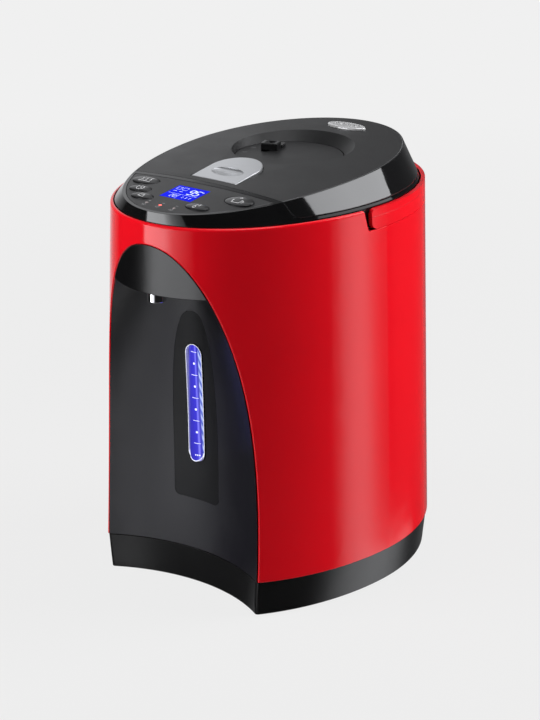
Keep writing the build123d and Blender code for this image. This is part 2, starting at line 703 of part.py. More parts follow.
def make_switches():
    parts = []
    for x, y, _, _ in BUTTONS.values():
        seat = panel_plane(x, y) * Pos(0, 0, board_level(x, y))
        case = Pos(0, 0, 1.6) * Box(6, 6, 3.2)
        parts.append(seat * (case + Pos(0, 0, SWITCH_H / 2) * Cylinder(1.7, SWITCH_H)))
    return parts


def make_leds():
    parts = []
    for x in LED_X:
        low = board_level(x, LED_Y)
        body = Pos(0, 0, (low - 0.1) / 2) * Cylinder(LED_R, -low - 0.1)
        parts.append(panel_plane(x, LED_Y) * body)
    return parts


# ======== lid ========

def make_lid_band():
    band = (top_form() & crown()) & lid_zone()
    band -= (top_form(BAND_EDGE) & behind(JOINT_Y - 5)) - crown(COVER_T + 0.1)
    inner = top_form(BAND_WALL) & behind(JOINT_Y + TOP_WALL)
    band -= inner & above(LID_LOW_Z - 2)
    low = LID_LOW_Z
    for relief in both_sides(cross_rod(HINGE_R + 0.2, HINGE_BLOCK_HALF, HINGE_HALF + 0.3, HINGE_Y, HINGE_Z)):
        band -= relief
    band -= block(-HINGE_BLOCK_HALF - 0.5, HINGE_BLOCK_HALF + 0.5, HINGE_Y, REACH / 2, low - 1, low + 11)
    band -= block(-LATCH_HALF - 0.4, LATCH_HALF + 0.4, JOINT_Y - 1, JOINT_Y + 4,
                  LATCH_Z - 0.4, LATCH_Z + LATCH_T + 0.4)
    return band


def recess(grow=0.0, low=PUMP_TOP_Z - 4):
    """Bowl from a round hole up to an oval rim."""
    deep = level(low) * Pos(0, PUMP_Y) * Circle(RECESS_R + grow)
    floor = level(PUMP_TOP_Z) * Pos(0, PUMP_Y) * Circle(RECESS_R + grow)
    rim = level(RECESS_RIM_Z) * Pos(0, RECESS_RIM_Y) * Ellipse(RECESS_RIM[0] + grow, RECESS_RIM[1] + grow)
    wide = level(RECESS_RIM_Z + 10) * Pos(0, RECESS_RIM_Y + 5) * Ellipse(
        RECESS_RIM[0] + 10 + grow, RECESS_RIM[1] + 8 + grow)
    return loft([deep, floor], ruled=True) + loft([floor, rim, wide], ruled=True)


def lever_outline(grow=0.0):
    """D shape: straight front and sides, round back."""
    half = LEVER_HALF + grow
    centre_y = LEVER_BACK_Y - LEVER_HALF
    depth = centre_y - LEVER_FRONT_Y + grow
    return Pos(0, centre_y) * (Circle(half) + Pos(0, -depth / 2) * Rectangle(2 * half, depth)
                               - Pos(0, -depth - half) * Rectangle(2 * half, 2 * half))


def lever_prism(grow=0.0):
    return extrude(level(RIM_Z) * lever_outline(grow), 60)


def make_lid_cover():
    form = top_form(BAND_EDGE + COVER_GAP) & lid_zone() & crown()
    cover = form - crown(COVER_T)
    tub_outside = lever_prism(LEVER_GAP + TUB_WALL) & form
    tub_inside = lever_prism(LEVER_GAP)
    bowl = recess(TUB_WALL) & form
    cover += tub_outside - crown(TUB_DEPTH + TUB_WALL)
    cover += bowl
    cover -= tub_inside - crown(TUB_DEPTH)
    cover -= recess()
    cover -= rod(RECESS_R, PUMP_TOP_Z - 6, PUMP_TOP_Z + 1, 0, PUMP_Y)
    cover -= block(-FINGER_HALF - 1, FINGER_HALF + 1, FINGER_Y - 1.5, FINGER_Y + FINGER_LENGTH + 2,
                   LID_LOW_Z, crown_z(0, FINGER_Y) - 4)
    cover -= cross_rod(LEVER_PIN_R, -16, 16, LEVER_PIN_Y, lever_pin_z())
    seat = extrude(Ellipse(VENT_HALF[0] + 0.1, VENT_HALF[1] + 0.1), 6)
    hole = extrude(Ellipse(VENT_HALF[0] - 2.6, VENT_HALF[1] - 2.6), 10, both=True)
    return cover - vent_plane() * (Pos(0, 0, -VENT_SINK) * seat + hole)


def vent_plane():
    return crown_plane(0, VENT_Y, VENT_Y)


def make_inner_panel():
    """Plate that closes the lid from below, with hinge knuckles and latch rails."""
    slab = top_form(BAND_WALL + 0.2) & behind(JOINT_Y + TOP_WALL + 0.2)
    low = LID_LOW_Z + 0.2
    slab &= block(-REACH / 2, REACH / 2, -REACH / 2, REACH / 2, low, low + INNER_PANEL_T)
    rail = block(LATCH_HALF + 0.3, LATCH_HALF + 2.3, LATCH_BACK_Y - 22, LATCH_BACK_Y,
                 LID_LOW_Z + 1, LATCH_Z + LATCH_T)
    knuckle = cross_rod(HINGE_R, HINGE_BLOCK_HALF + 0.4, HINGE_HALF, HINGE_Y, HINGE_Z)
    panel = slab + both_sides(rail) + both_sides(knuckle)
    panel -= rod(PUMP_CUP_R + 0.2, LID_LOW_Z - 5, LID_LOW_Z + 10, 0, PUMP_Y)
    panel -= block(-HINGE_BLOCK_HALF - 0.4, HINGE_BLOCK_HALF + 0.4, HINGE_Y - 7, REACH / 2,
                   LID_LOW_Z - 5, LID_LOW_Z + 9)
    panel -= cross_rod(HINGE_PIN_R + RUN, -REACH / 8, REACH / 8, HINGE_Y, HINGE_Z)
    panel -= block(-FINGER_HALF - 1, FINGER_HALF + 1, FINGER_Y - 1.5, FINGER_Y + FINGER_LENGTH + 2,
                   LID_LOW_Z - 5, LID_LOW_Z + 10)
    panel -= rod(DUCT_R + 1.0, LID_LOW_Z - 5, LID_LOW_Z + 10, 0, VENT_Y - 9)
    return panel


def make_inner_plate():
    """Pressed steel dish that faces the water."""
    top = LID_LOW_Z + 0.1
    hole = PUMP_CUP_R + 0.5
    points = [(hole, INNER_PLATE_Z), (INNER_PLATE_R, INNER_PLATE_Z), (GASKET_IN_R - 3, top - 2),
              (GASKET_IN_R - 0.5, top - 1.2), (GASKET_IN_R - 0.5, top), (GASKET_IN_R - 3.5, top),
              (INNER_PLATE_R - 1, INNER_PLATE_Z + 1), (hole, INNER_PLATE_Z + 1)]
    plate = turned(points, 0, POT_Y)
    return plate - rod(DUCT_R + 0.2, INNER_PLATE_Z - 2, top + 2, 0, VENT_Y - 9)


def make_gasket():
    points = [(GASKET_IN_R, DECK_Z + 0.3), (GASKET_OUT_R, DECK_Z + 0.3), (GASKET_OUT_R, LID_LOW_Z + 0.1),
              (GASKET_IN_R, LID_LOW_Z + 0.1)]
    return turned(points, 0, POT_Y)


def make_vent():
    """Chromed oval grille over the steam outlet."""
    rim = extrude(Ellipse(*VENT_HALF), VENT_RISE + VENT_SINK)
    rim = fillet(rim.faces().sort_by(Axis.Z)[-1].edges(), 1.1)
    neck = extrude(Ellipse(VENT_HALF[0] - 2.8, VENT_HALF[1] - 2.8), -COVER_T)
    cap = Pos(0, 0, -VENT_SINK) * (rim + Pos(0, 0, 0.2) * neck)
    cap -= Pos(0, 0, VENT_RISE - 5.2) * extrude(Ellipse(VENT_HALF[0] - 4, VENT_HALF[1] - 4), 4)
    for index in range(5):
        slot = Rot(0, 0, 90) * SlotOverall(9.0, 2.2)
        cap -= Pos(5.0 * (index - 2), 0, -4) * extrude(slot, 8)
    return vent_plane() * cap


def make_steam_duct():
    return tube(DUCT_R, DUCT_R - 1.2, INNER_PLATE_Z - 2, crown_z(0, VENT_Y) - 5, 0, VENT_Y - 9)


def make_pump_cylinder():
    top = PUMP_TOP_Z - 7.6
    post = PUMP_TOP_Z - PUMP_PLATE_T - PUMP_TRAVEL - 1
    floor = PUMP_CUP_FLOOR_Z
    inner = PUMP_CUP_R - PUMP_CUP_WALL
    points = [(3, floor), (PUMP_CUP_R, floor), (PUMP_CUP_R, top), (inner, top),
              (inner, floor + 2), (PUMP_POST_R, floor + 2),
              (PUMP_POST_R, post), (3, post)]
    return turned(points, 0, PUMP_Y)


def make_pump_valve():
    return rod(8, PUMP_CUP_FLOOR_Z - 1.6, PUMP_CUP_FLOOR_Z - 0.2, 0, PUMP_Y)


def make_pump_plate():
    low = PUMP_TOP_Z - PUMP_PLATE_T
    sleeve = tube(PUMP_POST_R + 2.3, PUMP_POST_R + 0.3, PUMP_CUP_FLOOR_Z + 2.6 + PUMP_TRAVEL, low, 0, PUMP_Y)
    plate = rod(PUMP_R, low, PUMP_TOP_Z, 0, PUMP_Y)
    plate = fillet(plate.faces().sort_by(Axis.Z)[-1].edges(), 0.6)
    plate += tube(PUMP_R, PUMP_R - 1.6, PUMP_TOP_Z - PUMP_SKIRT, low, 0, PUMP_Y) + sleeve
    radius, start = knob_polar()
    track = CenterArc((0, 0), radius, start, KNOB_TRAVEL)
    slot = extrude(SlotArc(track, 2 * KNOB_STEM + 0.8), PUMP_PLATE_T + 2)
    return plate - Pos(0, PUMP_Y, low - 1) * slot


def knob_polar():
    x, y = KNOB_PLACE
    return hypot(x, y), degrees(atan2(y, x))


def make_bellows():
    """Rubber bellows between the plate and the cup's floor."""
    low = PUMP_CUP_FLOOR_Z + 2.2
    high = PUMP_TOP_Z - PUMP_SKIRT - 0.4
    folds = 5
    pitch = (high - low) / folds
    outer, inner, wall = BELLOWS_R, BELLOWS_R - BELLOWS_FOLD, 1.4
    outside = []
    for index in range(folds):
        base = low + pitch * index
        outside += [(inner, base), (outer, base + pitch / 2)]
    outside.append((inner, high))
    inside = [(r - wall, z) for r, z in reversed(outside)]
    return turned(outside + inside, 0, PUMP_Y)


def make_pump_spring():
    low = PUMP_CUP_FLOOR_Z + 3.2
    high = PUMP_TOP_Z - PUMP_PLATE_T - 1.2
    coil = Helix(pitch=(high - low) / 5, height=high - low, radius=15)
    wire = Plane(origin=coil @ 0, z_dir=coil % 0) * RegularPolygon(1.1, 6)
    return Pos(0, PUMP_Y, low) * sweep(wire, path=coil, is_frenet=True)


def make_lock_knob():
    """Knob that turns round the plate's centre and blocks the pump."""
    length, width, height = KNOB_SIZE
    body = fillet(Box(length, width, height).edges().filter_by(Axis.Z), 1.2)
    body = fillet(body.faces().sort_by(Axis.Z)[-1].edges(), 0.8)
    body -= Pos(0, 0, height / 2 + 6.9) * Rot(90, 0, 0) * Cylinder(8.0, width - 2.6)
    wing = Pos(3.2, width / 2 + 4, 1.2 - height / 2) * Box(9, 10, 2.4)
    body += fillet(wing.edges().filter_by(Axis.Z), 2)
    under = -PUMP_PLATE_T - 0.4
    stem = Pos(0, 0, under / 2 + 0.5 - height / 2) * Cylinder(KNOB_STEM, 1 - under)
    foot = Pos(0, 0, under - 0.9 - height / 2) * Cylinder(KNOB_STEM + 1.4, 1.8)
    place = Pos(KNOB_PLACE[0], PUMP_Y + KNOB_PLACE[1], PUMP_TOP_Z + 0.2 + height / 2)
    return place * Rot(0, 0, KNOB_TURN) * (body + stem + foot)


def lever_pin_z():
    return crown_z(0, LEVER_PIN_Y) - LEVER_DROP


def lever_top(drop=0.0):
    """The crown, tilted up about the lever's front edge."""
    hinge = Axis((0, LEVER_FRONT_Y, crown_z(0, LEVER_FRONT_Y)), (1, 0, 0))
    return crown(drop).rotate(hinge, LEVER_RISE)


def make_release_lever():
    plate = (lever_prism() & lever_top()) - crown(LEVER_T)
    top = fillet(plate.faces().sort_by(Axis.Z)[-1].edges(), 0.7)
    hollow = (lever_prism(-LEVER_T) & lever_top(LEVER_T)) & behind(DIMPLE_Y + DIMPLE[1] + 2)
    rise = (DIMPLE_Y - LEVER_FRONT_Y) * sin(radians(LEVER_RISE))
    bowl = Pos(0, DIMPLE_Y, crown_z(0, DIMPLE_Y) + rise + 0.9) * scale(Sphere(1.0), by=DIMPLE)
    z = lever_pin_z()
    boss = cross_rod(LEVER_BOSS_R, -LEVER_BOSS_HALF, LEVER_BOSS_HALF, LEVER_PIN_Y, z)
    web = block(-LEVER_BOSS_HALF, LEVER_BOSS_HALF, LEVER_PIN_Y - 1.5, LEVER_PIN_Y + 1.5,
                z, crown_z(0, LEVER_PIN_Y) + 1)
    lever = (top - hollow) - bowl + boss + web
    lever -= cross_rod(LEVER_PIN_R + RUN, -20, 20, LEVER_PIN_Y, z)
    root = crown_z(0, FINGER_Y) - LEVER_T + 0.3
    side = [(FINGER_Y, FINGER_TIP_Z), (FINGER_Y + FINGER_LENGTH, FINGER_TIP_Z + FINGER_LENGTH),
            (FINGER_Y + FINGER_LENGTH, root), (FINGER_Y, root)]
    return lever + extrude(Plane.YZ * make_face(Polyline(*side, close=True)), FINGER_HALF, both=True)


def make_lever_pin():
    return cross_rod(LEVER_PIN_R, -15.5, 15.5, LEVER_PIN_Y, lever_pin_z())


def make_lever_spring():
    z = lever_pin_z()
    start = LEVER_BOSS_HALF + 0.4
    coil = cross_rod(2.0, start, start + 2.4, LEVER_PIN_Y, z)
    for index in range(3):
        coil += cross_rod(2.2, start + 0.9 * index, start + 0.9 * index + 0.6, LEVER_PIN_Y, z)
    return coil - cross_rod(LEVER_PIN_R, 0, REACH, LEVER_PIN_Y, z)


def make_latch():
    """Sliding bolt plate; the lever's finger works in its window."""
    front = JOINT_Y + JOINT_GAP / 2 + 0.35
    plate = block(-LATCH_HALF, LATCH_HALF, front, LATCH_BACK_Y, LATCH_Z, LATCH_Z + LATCH_T)
    edge = FINGER_Y + (LATCH_Z + LATCH_T - FINGER_TIP_Z) + 0.45
    half = FINGER_HALF + 0.5
    return plate - block(-half, half, edge - 8.5, edge, LATCH_Z - 1, LATCH_Z + LATCH_T + 1)


def make_hinge_block():
    stand = block(-HINGE_BLOCK_HALF, HINGE_BLOCK_HALF, HINGE_Y - HINGE_R, HINGE_Y + HINGE_R,
                  TROUGH_Z, HINGE_Z)
    stand += cross_rod(HINGE_R, -HINGE_BLOCK_HALF, HINGE_BLOCK_HALF, HINGE_Y, HINGE_Z)
    return stand - cross_rod(HINGE_PIN_R, -30, 30, HINGE_Y, HINGE_Z)


def make_hinge_pin():
    return cross_rod(HINGE_PIN_R, -HINGE_HALF, HINGE_HALF, HINGE_Y, HINGE_Z)


# ======== handle ========

def make_carry_handle():
    band = body_form(HANDLE_LOW_Z, HANDLE_HIGH_Z) - body_form(HANDLE_LOW_Z - 1, HANDLE_HIGH_Z + 1, HANDLE_T)
    front = HANDLE_PIVOT_Y - HANDLE_END_R
    face = side_box(front, REACH / 2, HANDLE_LOW_Z, HANDLE_HIGH_Z)
    face = fillet(corner(face, front, HANDLE_LOW_Z), HANDLE_END_R)
    face = fillet(corner(face, front, HANDLE_HIGH_Z), HANDLE_TOP_R)
    band &= side_prism(face)
    skin = body_sizes(HANDLE_PIVOT_Z)[0] - HANDLE_SKIN
    bore = cross_rod(HANDLE_PIN_R + RUN, skin - 8, skin, HANDLE_PIVOT_Y, HANDLE_PIVOT_Z)
    for side in both_sides(bore):
        band -= side
    return band


def make_handle_pins():
    high = body_sizes(HANDLE_PIVOT_Z)[0] - HANDLE_SKIN - 0.2
    wall = TOP_LOW[0] - TOP_WALL
    pin = cross_rod(HANDLE_PIN_R, wall - 1, high, HANDLE_PIVOT_Y, HANDLE_PIVOT_Z)
    head = cross_rod(HANDLE_PIN_R + 2, wall - 3, wall - 1, HANDLE_PIVOT_Y, HANDLE_PIVOT_Z)
    return both_sides(pin + head)


# ======== pot, pump, electrics ========

def make_inner_pot():
    r, w = POT_R, POT_WALL
    points = [(0, POT_FLOOR_Z), (r - 6, POT_FLOOR_Z), (r, POT_FLOOR_Z + 6), (r, POT_SHOULDER_Z),
              (MOUTH_R + w, POT_SHOULDER_Z + 6), (MOUTH_R + w, POT_LIP_Z), (POT_LIP_R, POT_LIP_Z),
              (POT_LIP_R, POT_LIP_Z + w), (MOUTH_R, POT_LIP_Z + w), (MOUTH_R, POT_SHOULDER_Z + 5),
              (r - w, POT_SHOULDER_Z - 1), (r - w, POT_FLOOR_Z + 7), (r - 7, POT_FLOOR_Z + w),
              (0, POT_FLOOR_Z + w)]
    pot = turned(points, 0, POT_Y)
    pot += tube(SPIGOT_R + 1, SPIGOT_R, POT_FLOOR_Z - 5, POT_FLOOR_Z + 0.5, 0, POT_SPIGOT_Y)
    return pot - rod(SPIGOT_R, POT_FLOOR_Z - 6, POT_FLOOR_Z + 3, 0, POT_SPIGOT_Y)


def make_pot_seal():
    points = [(MOUTH_R + 1.4, POT_LIP_Z + POT_WALL), (POT_LIP_R, POT_LIP_Z + POT_WALL),
              (POT_LIP_R, DECK_Z - DECK_T), (MOUTH_R + 1.4, DECK_Z - DECK_T)]
    return turned(points, 0, POT_Y)


def make_jacket():
    return tube(JACKET_R + JACKET_T, JACKET_R, POT_FLOOR_Z + 6, POT_SHOULDER_Z, 0, POT_Y)


def make_heater():
    top = POT_FLOOR_Z - 0.05
    points = [(0, top - HEATER_T + 3), (28, top - HEATER_T + 3), (28, top - HEATER_T),
              (HEATER_R, top - HEATER_T), (HEATER_R, top - 2), (HEATER_R - 4, top), (0, top)]
    return turned(points, 0, POT_Y)


def make_thermostat():
    top = POT_FLOOR_Z - 0.05 - HEATER_T + 3
    case = rod(9, top - 9, top - 0.05, 0, POT_Y)
    return case + block(-12, 12, POT_Y - 2, POT_Y + 2, top - 9, top - 7)


def make_pump_head():
    low, high = PUMP_HEAD_Z
    head = rod(PUMP_HEAD_R, low, high, 0, POT_SPIGOT_Y)
    head = fillet(head.faces().sort_by(Axis.Z)[-1].edges(), 2)
    return head + rod(SPIGOT_R + 1, high - 1, POT_FLOOR_Z - 5.4, 0, POT_SPIGOT_Y)


def make_suction_hose():
    return tube(SPIGOT_R + 2.8, SPIGOT_R + 1.05, PUMP_HEAD_Z[1] + 0.5, POT_FLOOR_Z - 0.3, 0, POT_SPIGOT_Y)


def make_pump_motor():
    low = FLOOR_Z + FLOOR_T
    motor = rod(MOTOR_R, low + 3, PUMP_HEAD_Z[0] - 0.05, 0, POT_SPIGOT_Y)
    return motor + block(-20, 20, POT_SPIGOT_Y - 14, POT_SPIGOT_Y + 14, low, low + 3)


def make_power_board():
    low = FLOOR_Z + FLOOR_T
    x, y = BOARD_PLACE
    length, width = BOARD_SIZE
    board = Pos(x, y, low + BOARD_STAND + BOARD_T / 2) * Box(length, width, BOARD_T)
    for side in (-1, 1):
        for end in (-1, 1):
            place = (x + side * (length / 2 - 4), y + end * (width / 2 - 4))
            board += rod(2.5, low, low + BOARD_STAND + 0.1, *place)
    top = low + BOARD_STAND + BOARD_T - 0.1
    coil = block(x - 22, x - 2, y - 22, y - 4, top, top + 16.5)
    relay = block(x + 4, x + 20, y - 24, y - 8, top, top + 11.5)
    capacitor = rod(6, top, top + 18.5, x + 10, y + 12)
    socket = block(x - 20, x - 4, y + 6, y + 24, top, top + 13.5)
    return board + [coil, relay, capacitor, socket]


def make_posts():
    """Pillars that carry the inner pot on the bottom cover."""
    posts = []
    for angle in (35, 145, 270):
        x = POST_RING_R * cos(radians(angle))
        y = POT_Y + POST_RING_R * sin(radians(angle))
        if angle == 270:
            x, y = 46.0, POT_Y - 60.0
        posts.append(tube(POST_R, POST_R - 2, FLOOR_Z + FLOOR_T, POT_FLOOR_Z - 0.05, x, y))
    mirrored = tube(POST_R, POST_R - 2, FLOOR_Z + FLOOR_T, POT_FLOOR_Z - 0.05, -46.0, POT_Y - 60.0)
    return posts + [mirrored]


def inlet_face_y():
    return body_sizes(INLET_Z)[2] - SHELL_WALL


def make_power_inlet():
    """Recessed inlet in the back of the shell; its lead is a separate accessory."""
    face = inlet_face_y()
    width, height, depth = INLET_WELL
    flange = block(-INLET_SIZE[0] / 2, INLET_SIZE[0] / 2, face - 1, face + 1.2,
                   INLET_Z - INLET_SIZE[1] / 2, INLET_Z + INLET_SIZE[1] / 2)
    case = block(-width / 2 - 2, width / 2 + 2, face - depth - 3, face,
                 INLET_Z - height / 2 - 2, INLET_Z + height / 2 + 2)
    well = block(-width / 2, width / 2, face - depth, face + 5, INLET_Z - height / 2, INLET_Z + height / 2)
    inlet = flange + case - well
    for x in INLET_PIN_X:
        inlet -= Pos(x, face - depth, INLET_Z) * Rot(90, 0, 0) * Cylinder(INLET_PIN_R + RUN, 12)
    return inlet


def make_inlet_pins():
    middle = inlet_face_y() - INLET_WELL[2] + 3
    return [Pos(x, middle, INLET_Z) * Rot(90, 0, 0) * Cylinder(INLET_PIN_R, 14) for x in INLET_PIN_X]


# ======== write the nodes ========

NODES = {
    "outer_shell": make_outer_shell,
    "base_housing": make_base_housing,
    "bottom_cover": make_bottom_cover,
    "rubber_foot_ring": make_foot_ring,
    "front_panel": make_front_panel,
    "gauge_plate": make_gauge_plate,
    "gauge_bezel": make_gauge_bezel,
    "gauge_window": make_gauge_window,
    "level_tube": make_level_tube,
    "gauge_backlight": make_backlight,
    "spout_cover": make_spout_cover,
    "spout_nozzle": make_nozzle,
    "spout_pipe": make_spout_pipe,
    "pump_outlet_hose": make_lower_hose,
    "collar_ring": make_collar_ring,
    "control_panel": make_control_panel,
    "display_window": make_display_window,
    "display_module": make_display_module,
    "control_board": make_control_board,
    "tact_switches": make_switches,
    "status_leds": make_leds,
    "inner_pot": make_inner_pot,
    "pot_seal": make_pot_seal,
    "insulation_jacket": make_jacket,
    "heater_plate": make_heater,
    "thermostat": make_thermostat,
    "pump_head": make_pump_head,
    "pump_motor": make_pump_motor,
    "suction_hose": make_suction_hose,
    "power_board": make_power_board,
    "pot_posts": make_posts,
    "power_inlet": make_power_inlet,
    "inlet_pins": make_inlet_pins,
    "hinge_block": make_hinge_block,
    "hinge_pin": make_hinge_pin,
    "handle_pins": make_handle_pins,
    "lid_band": make_lid_band,
    "lid_cover": make_lid_cover,
    "lid_inner_panel": make_inner_panel,
    "lid_inner_plate": make_inner_plate,
    "lid_gasket": make_gasket,
    "steam_vent": make_vent,
    "steam_duct": make_steam_duct,
    "pump_cylinder": make_pump_cylinder,
    "pump_valve": make_pump_valve,
    "pump_plate": make_pump_plate,
    "pump_bellows": make_bellows,
    "pump_spring": make_pump_spring,
    "lock_knob": make_lock_knob,
    "release_lever": make_release_lever,
    "lever_pin": make_lever_pin,
    "lever_spring": make_lever_spring,
    "latch_bolt": make_latch,
    "carry_handle": make_carry_handle,
}


def write(name, shape):
    if isinstance(shape, list):
        shape = Compound([solid for part in shape for solid in part.solids()])
    export_step(shape, os.path.join("parts", name + ".step"))


def main():
    os.makedirs("parts", exist_ok=True)
    for name, make in NODES.items():
        write(name, make())
    for name, places in BUTTONS.items():
        write(name, make_button(*places))


main()
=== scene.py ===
import json
from math import cos, hypot, pi, radians, sin, tan

import bmesh
import bpy
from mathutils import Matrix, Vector
from mathutils.bvhtree import BVHTree


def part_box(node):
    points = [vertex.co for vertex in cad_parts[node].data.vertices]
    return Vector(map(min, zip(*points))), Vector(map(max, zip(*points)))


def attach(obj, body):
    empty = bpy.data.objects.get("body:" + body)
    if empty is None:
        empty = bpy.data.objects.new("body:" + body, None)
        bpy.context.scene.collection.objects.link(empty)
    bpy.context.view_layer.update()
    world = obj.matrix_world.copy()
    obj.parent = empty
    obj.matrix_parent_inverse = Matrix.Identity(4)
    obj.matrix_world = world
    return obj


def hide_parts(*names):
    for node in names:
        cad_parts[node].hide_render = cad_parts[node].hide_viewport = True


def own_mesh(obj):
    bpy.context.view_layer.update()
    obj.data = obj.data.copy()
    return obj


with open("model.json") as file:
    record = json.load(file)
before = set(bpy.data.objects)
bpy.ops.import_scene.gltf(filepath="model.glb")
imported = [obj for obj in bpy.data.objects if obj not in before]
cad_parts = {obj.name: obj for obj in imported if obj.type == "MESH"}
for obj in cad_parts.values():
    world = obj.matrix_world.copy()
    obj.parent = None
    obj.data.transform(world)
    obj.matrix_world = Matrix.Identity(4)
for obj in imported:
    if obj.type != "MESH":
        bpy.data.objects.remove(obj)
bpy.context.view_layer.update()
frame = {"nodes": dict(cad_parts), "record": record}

NODES = frame["nodes"]
MM = 0.001


# ======== camera ========

CAM_AZIMUTH = radians(38.65)        # towards the pot's right front corner
CAM_ELEVATION = radians(18.96)
CAM_DISTANCE = 1.8855
CAM_TARGET = Vector((0.0, 0.0, 0.160))
PICTURE = (540.0, 720.0)
FOCAL_PX = 2416.7
CENTRE_PX = (275.96, 355.65)        # where the optical axis meets the picture
SENSOR = 36.0
CLIP = (0.05, 60.0)


def make_camera():
    """Camera with the photo's view of the pot."""
    data = bpy.data.cameras.new("camera")
    data.sensor_width = SENSOR
    data.sensor_height = SENSOR
    data.lens = FOCAL_PX * SENSOR / PICTURE[1]
    data.shift_x = (PICTURE[0] / 2 - CENTRE_PX[0]) / PICTURE[1]
    data.shift_y = (CENTRE_PX[1] - PICTURE[1] / 2) / PICTURE[1]
    data.clip_start, data.clip_end = CLIP
    camera = bpy.data.objects.new("camera", data)
    bpy.context.scene.collection.objects.link(camera)
    level = cos(CAM_ELEVATION)
    back = Vector((sin(CAM_AZIMUTH) * level, -cos(CAM_AZIMUTH) * level, sin(CAM_ELEVATION)))
    camera.location = CAM_TARGET + back * CAM_DISTANCE
    camera.rotation_euler = back.to_track_quat("Z", "Y").to_euler()
    bpy.context.scene.camera = camera


# ======== node helpers ========

EDGE_TURN = (0.02, 0.16)            # how far the softened normal leaves the true one, from no edge to an edge


class Nodes:
    """Shorthand for building a material's node tree."""

    def __init__(self, name):
        self.material = bpy.data.materials.new(name)
        self.material.use_nodes = True
        self.tree = self.material.node_tree
        self.tree.nodes.clear()
        self.out = self.add("ShaderNodeOutputMaterial")
        self.where = self.add("ShaderNodeTexCoord").outputs["Object"]

    def add(self, kind, **settings):
        node = self.tree.nodes.new(kind)
        for key, value in settings.items():
            setattr(node, key, value)
        return node

    def link(self, source, target):
        self.tree.links.new(source, target)

    def put(self, socket, value):
        """Sets a socket to a number or colour, or links it to another node's output."""
        if isinstance(value, bpy.types.NodeSocket):
            self.link(value, socket)
        elif isinstance(value, (tuple, list)) and len(value) == 3 and socket.type == "RGBA":
            socket.default_value = (*value, 1.0)
        else:
            socket.default_value = value

    def stretched(self, scale):
        """Object coordinates scaled along each axis; a small scale stretches a texture."""
        node = self.add("ShaderNodeMapping")
        self.link(self.where, node.inputs["Vector"])
        node.inputs["Scale"].default_value = scale
        return node.outputs["Vector"]

    def noise(self, scale, detail=3.0, rough=0.55, vector=None):
        node = self.add("ShaderNodeTexNoise")
        self.link(vector or self.where, node.inputs["Vector"])
        node.inputs["Scale"].default_value = scale
        node.inputs["Detail"].default_value = detail
        node.inputs["Roughness"].default_value = rough
        return node.outputs["Fac"]

    def cells(self, scale):
        """Distance to the nearest of many scattered points."""
        node = self.add("ShaderNodeTexVoronoi")
        self.link(self.where, node.inputs["Vector"])
        node.inputs["Scale"].default_value = scale
        return node.outputs["Distance"]

    def spread(self, value, low, high, from_low=0.3, from_high=0.7):
        """Maps from_low..from_high, by default a texture's middle range, to low..high, and holds it there."""
        node = self.add("ShaderNodeMapRange")
        self.put(node.inputs["Value"], value)
        ends = {"From Min": from_low, "From Max": from_high, "To Min": low, "To Max": high}
        for key, number in ends.items():
            node.inputs[key].default_value = number
        return node.outputs["Result"]

    def mix(self, factor, first, second):
        """Blend of two colours."""
        node = self.add("ShaderNodeMix", data_type="RGBA")
        for index, value in ((0, factor), (6, first), (7, second)):     # the colour mode's own sockets
            self.put(node.inputs[index], value)
        return node.outputs[2]

    def math(self, operation, first, second=0.0, third=0.0):
        node = self.add("ShaderNodeMath", operation=operation)
        for socket, value in zip(node.inputs, (first, second, third)):
            self.put(socket, value)
        return node.outputs[0]

    def axis(self, name):
        node = self.add("ShaderNodeSeparateXYZ")
        self.link(self.where, node.inputs[0])
        return node.outputs[name]

    def bump(self, height, distance, under=None):
        """Normal of a relief this deep, laid over the normal under it."""
        node = self.add("ShaderNodeBump")
        node.inputs["Strength"].default_value = 1.0
        node.inputs["Distance"].default_value = distance
        self.link(height, node.inputs["Height"])
        if under is not None:
            self.link(under, node.inputs["Normal"])
        return node.outputs["Normal"]

    def edges(self, radius):
        """1 along sharp edges and 0 away from them, and the normal of the softened edge."""
        soft = self.add("ShaderNodeBevel", samples=6)
        soft.inputs["Radius"].default_value = radius
        true = self.add("ShaderNodeNewGeometry")
        alike = self.add("ShaderNodeVectorMath", operation="DOT_PRODUCT")
        self.link(soft.outputs["Normal"], alike.inputs[0])
        self.link(true.outputs["Normal"], alike.inputs[1])
        turned = self.math("SUBTRACT", 1.0, alike.outputs["Value"])
        return self.spread(turned, 0.0, 1.0, *EDGE_TURN), soft.outputs["Normal"]

    def shader(self, color, rough, normal=None, **sockets):
        """The material's surface; further sockets are named with _ for a space."""
        node = self.add("ShaderNodeBsdfPrincipled")
        self.put(node.inputs["Base Color"], color)
        self.put(node.inputs["Roughness"], rough)
        if normal is not None:
            self.link(normal, node.inputs["Normal"])
        for key, value in sockets.items():
            self.put(node.inputs[key.replace("_", " ")], value)
        self.link(node.outputs[0], self.out.inputs["Surface"])


def tinted(color, gain):
    return tuple(min(part * gain, 1.0) for part in color)


def drifting(n, texture, color, darkest, lightest):
    """Base colour that follows a texture between two shades."""
    return n.mix(n.spread(texture, 0.0, 1.0), tinted(color, darkest), tinted(color, lightest))


def blotchy(n, color, scale, depth):
    """Base colour that drifts a little over the surface."""
    return drifting(n, n.noise(scale, detail=2.0), color, 1 - depth, 1 + depth)


# ======== materials ========

# grey painted onto the edges of black gloss parts as a highlight line
EDGE_HIGHLIGHT_GREY = (0.050, 0.050, 0.053)


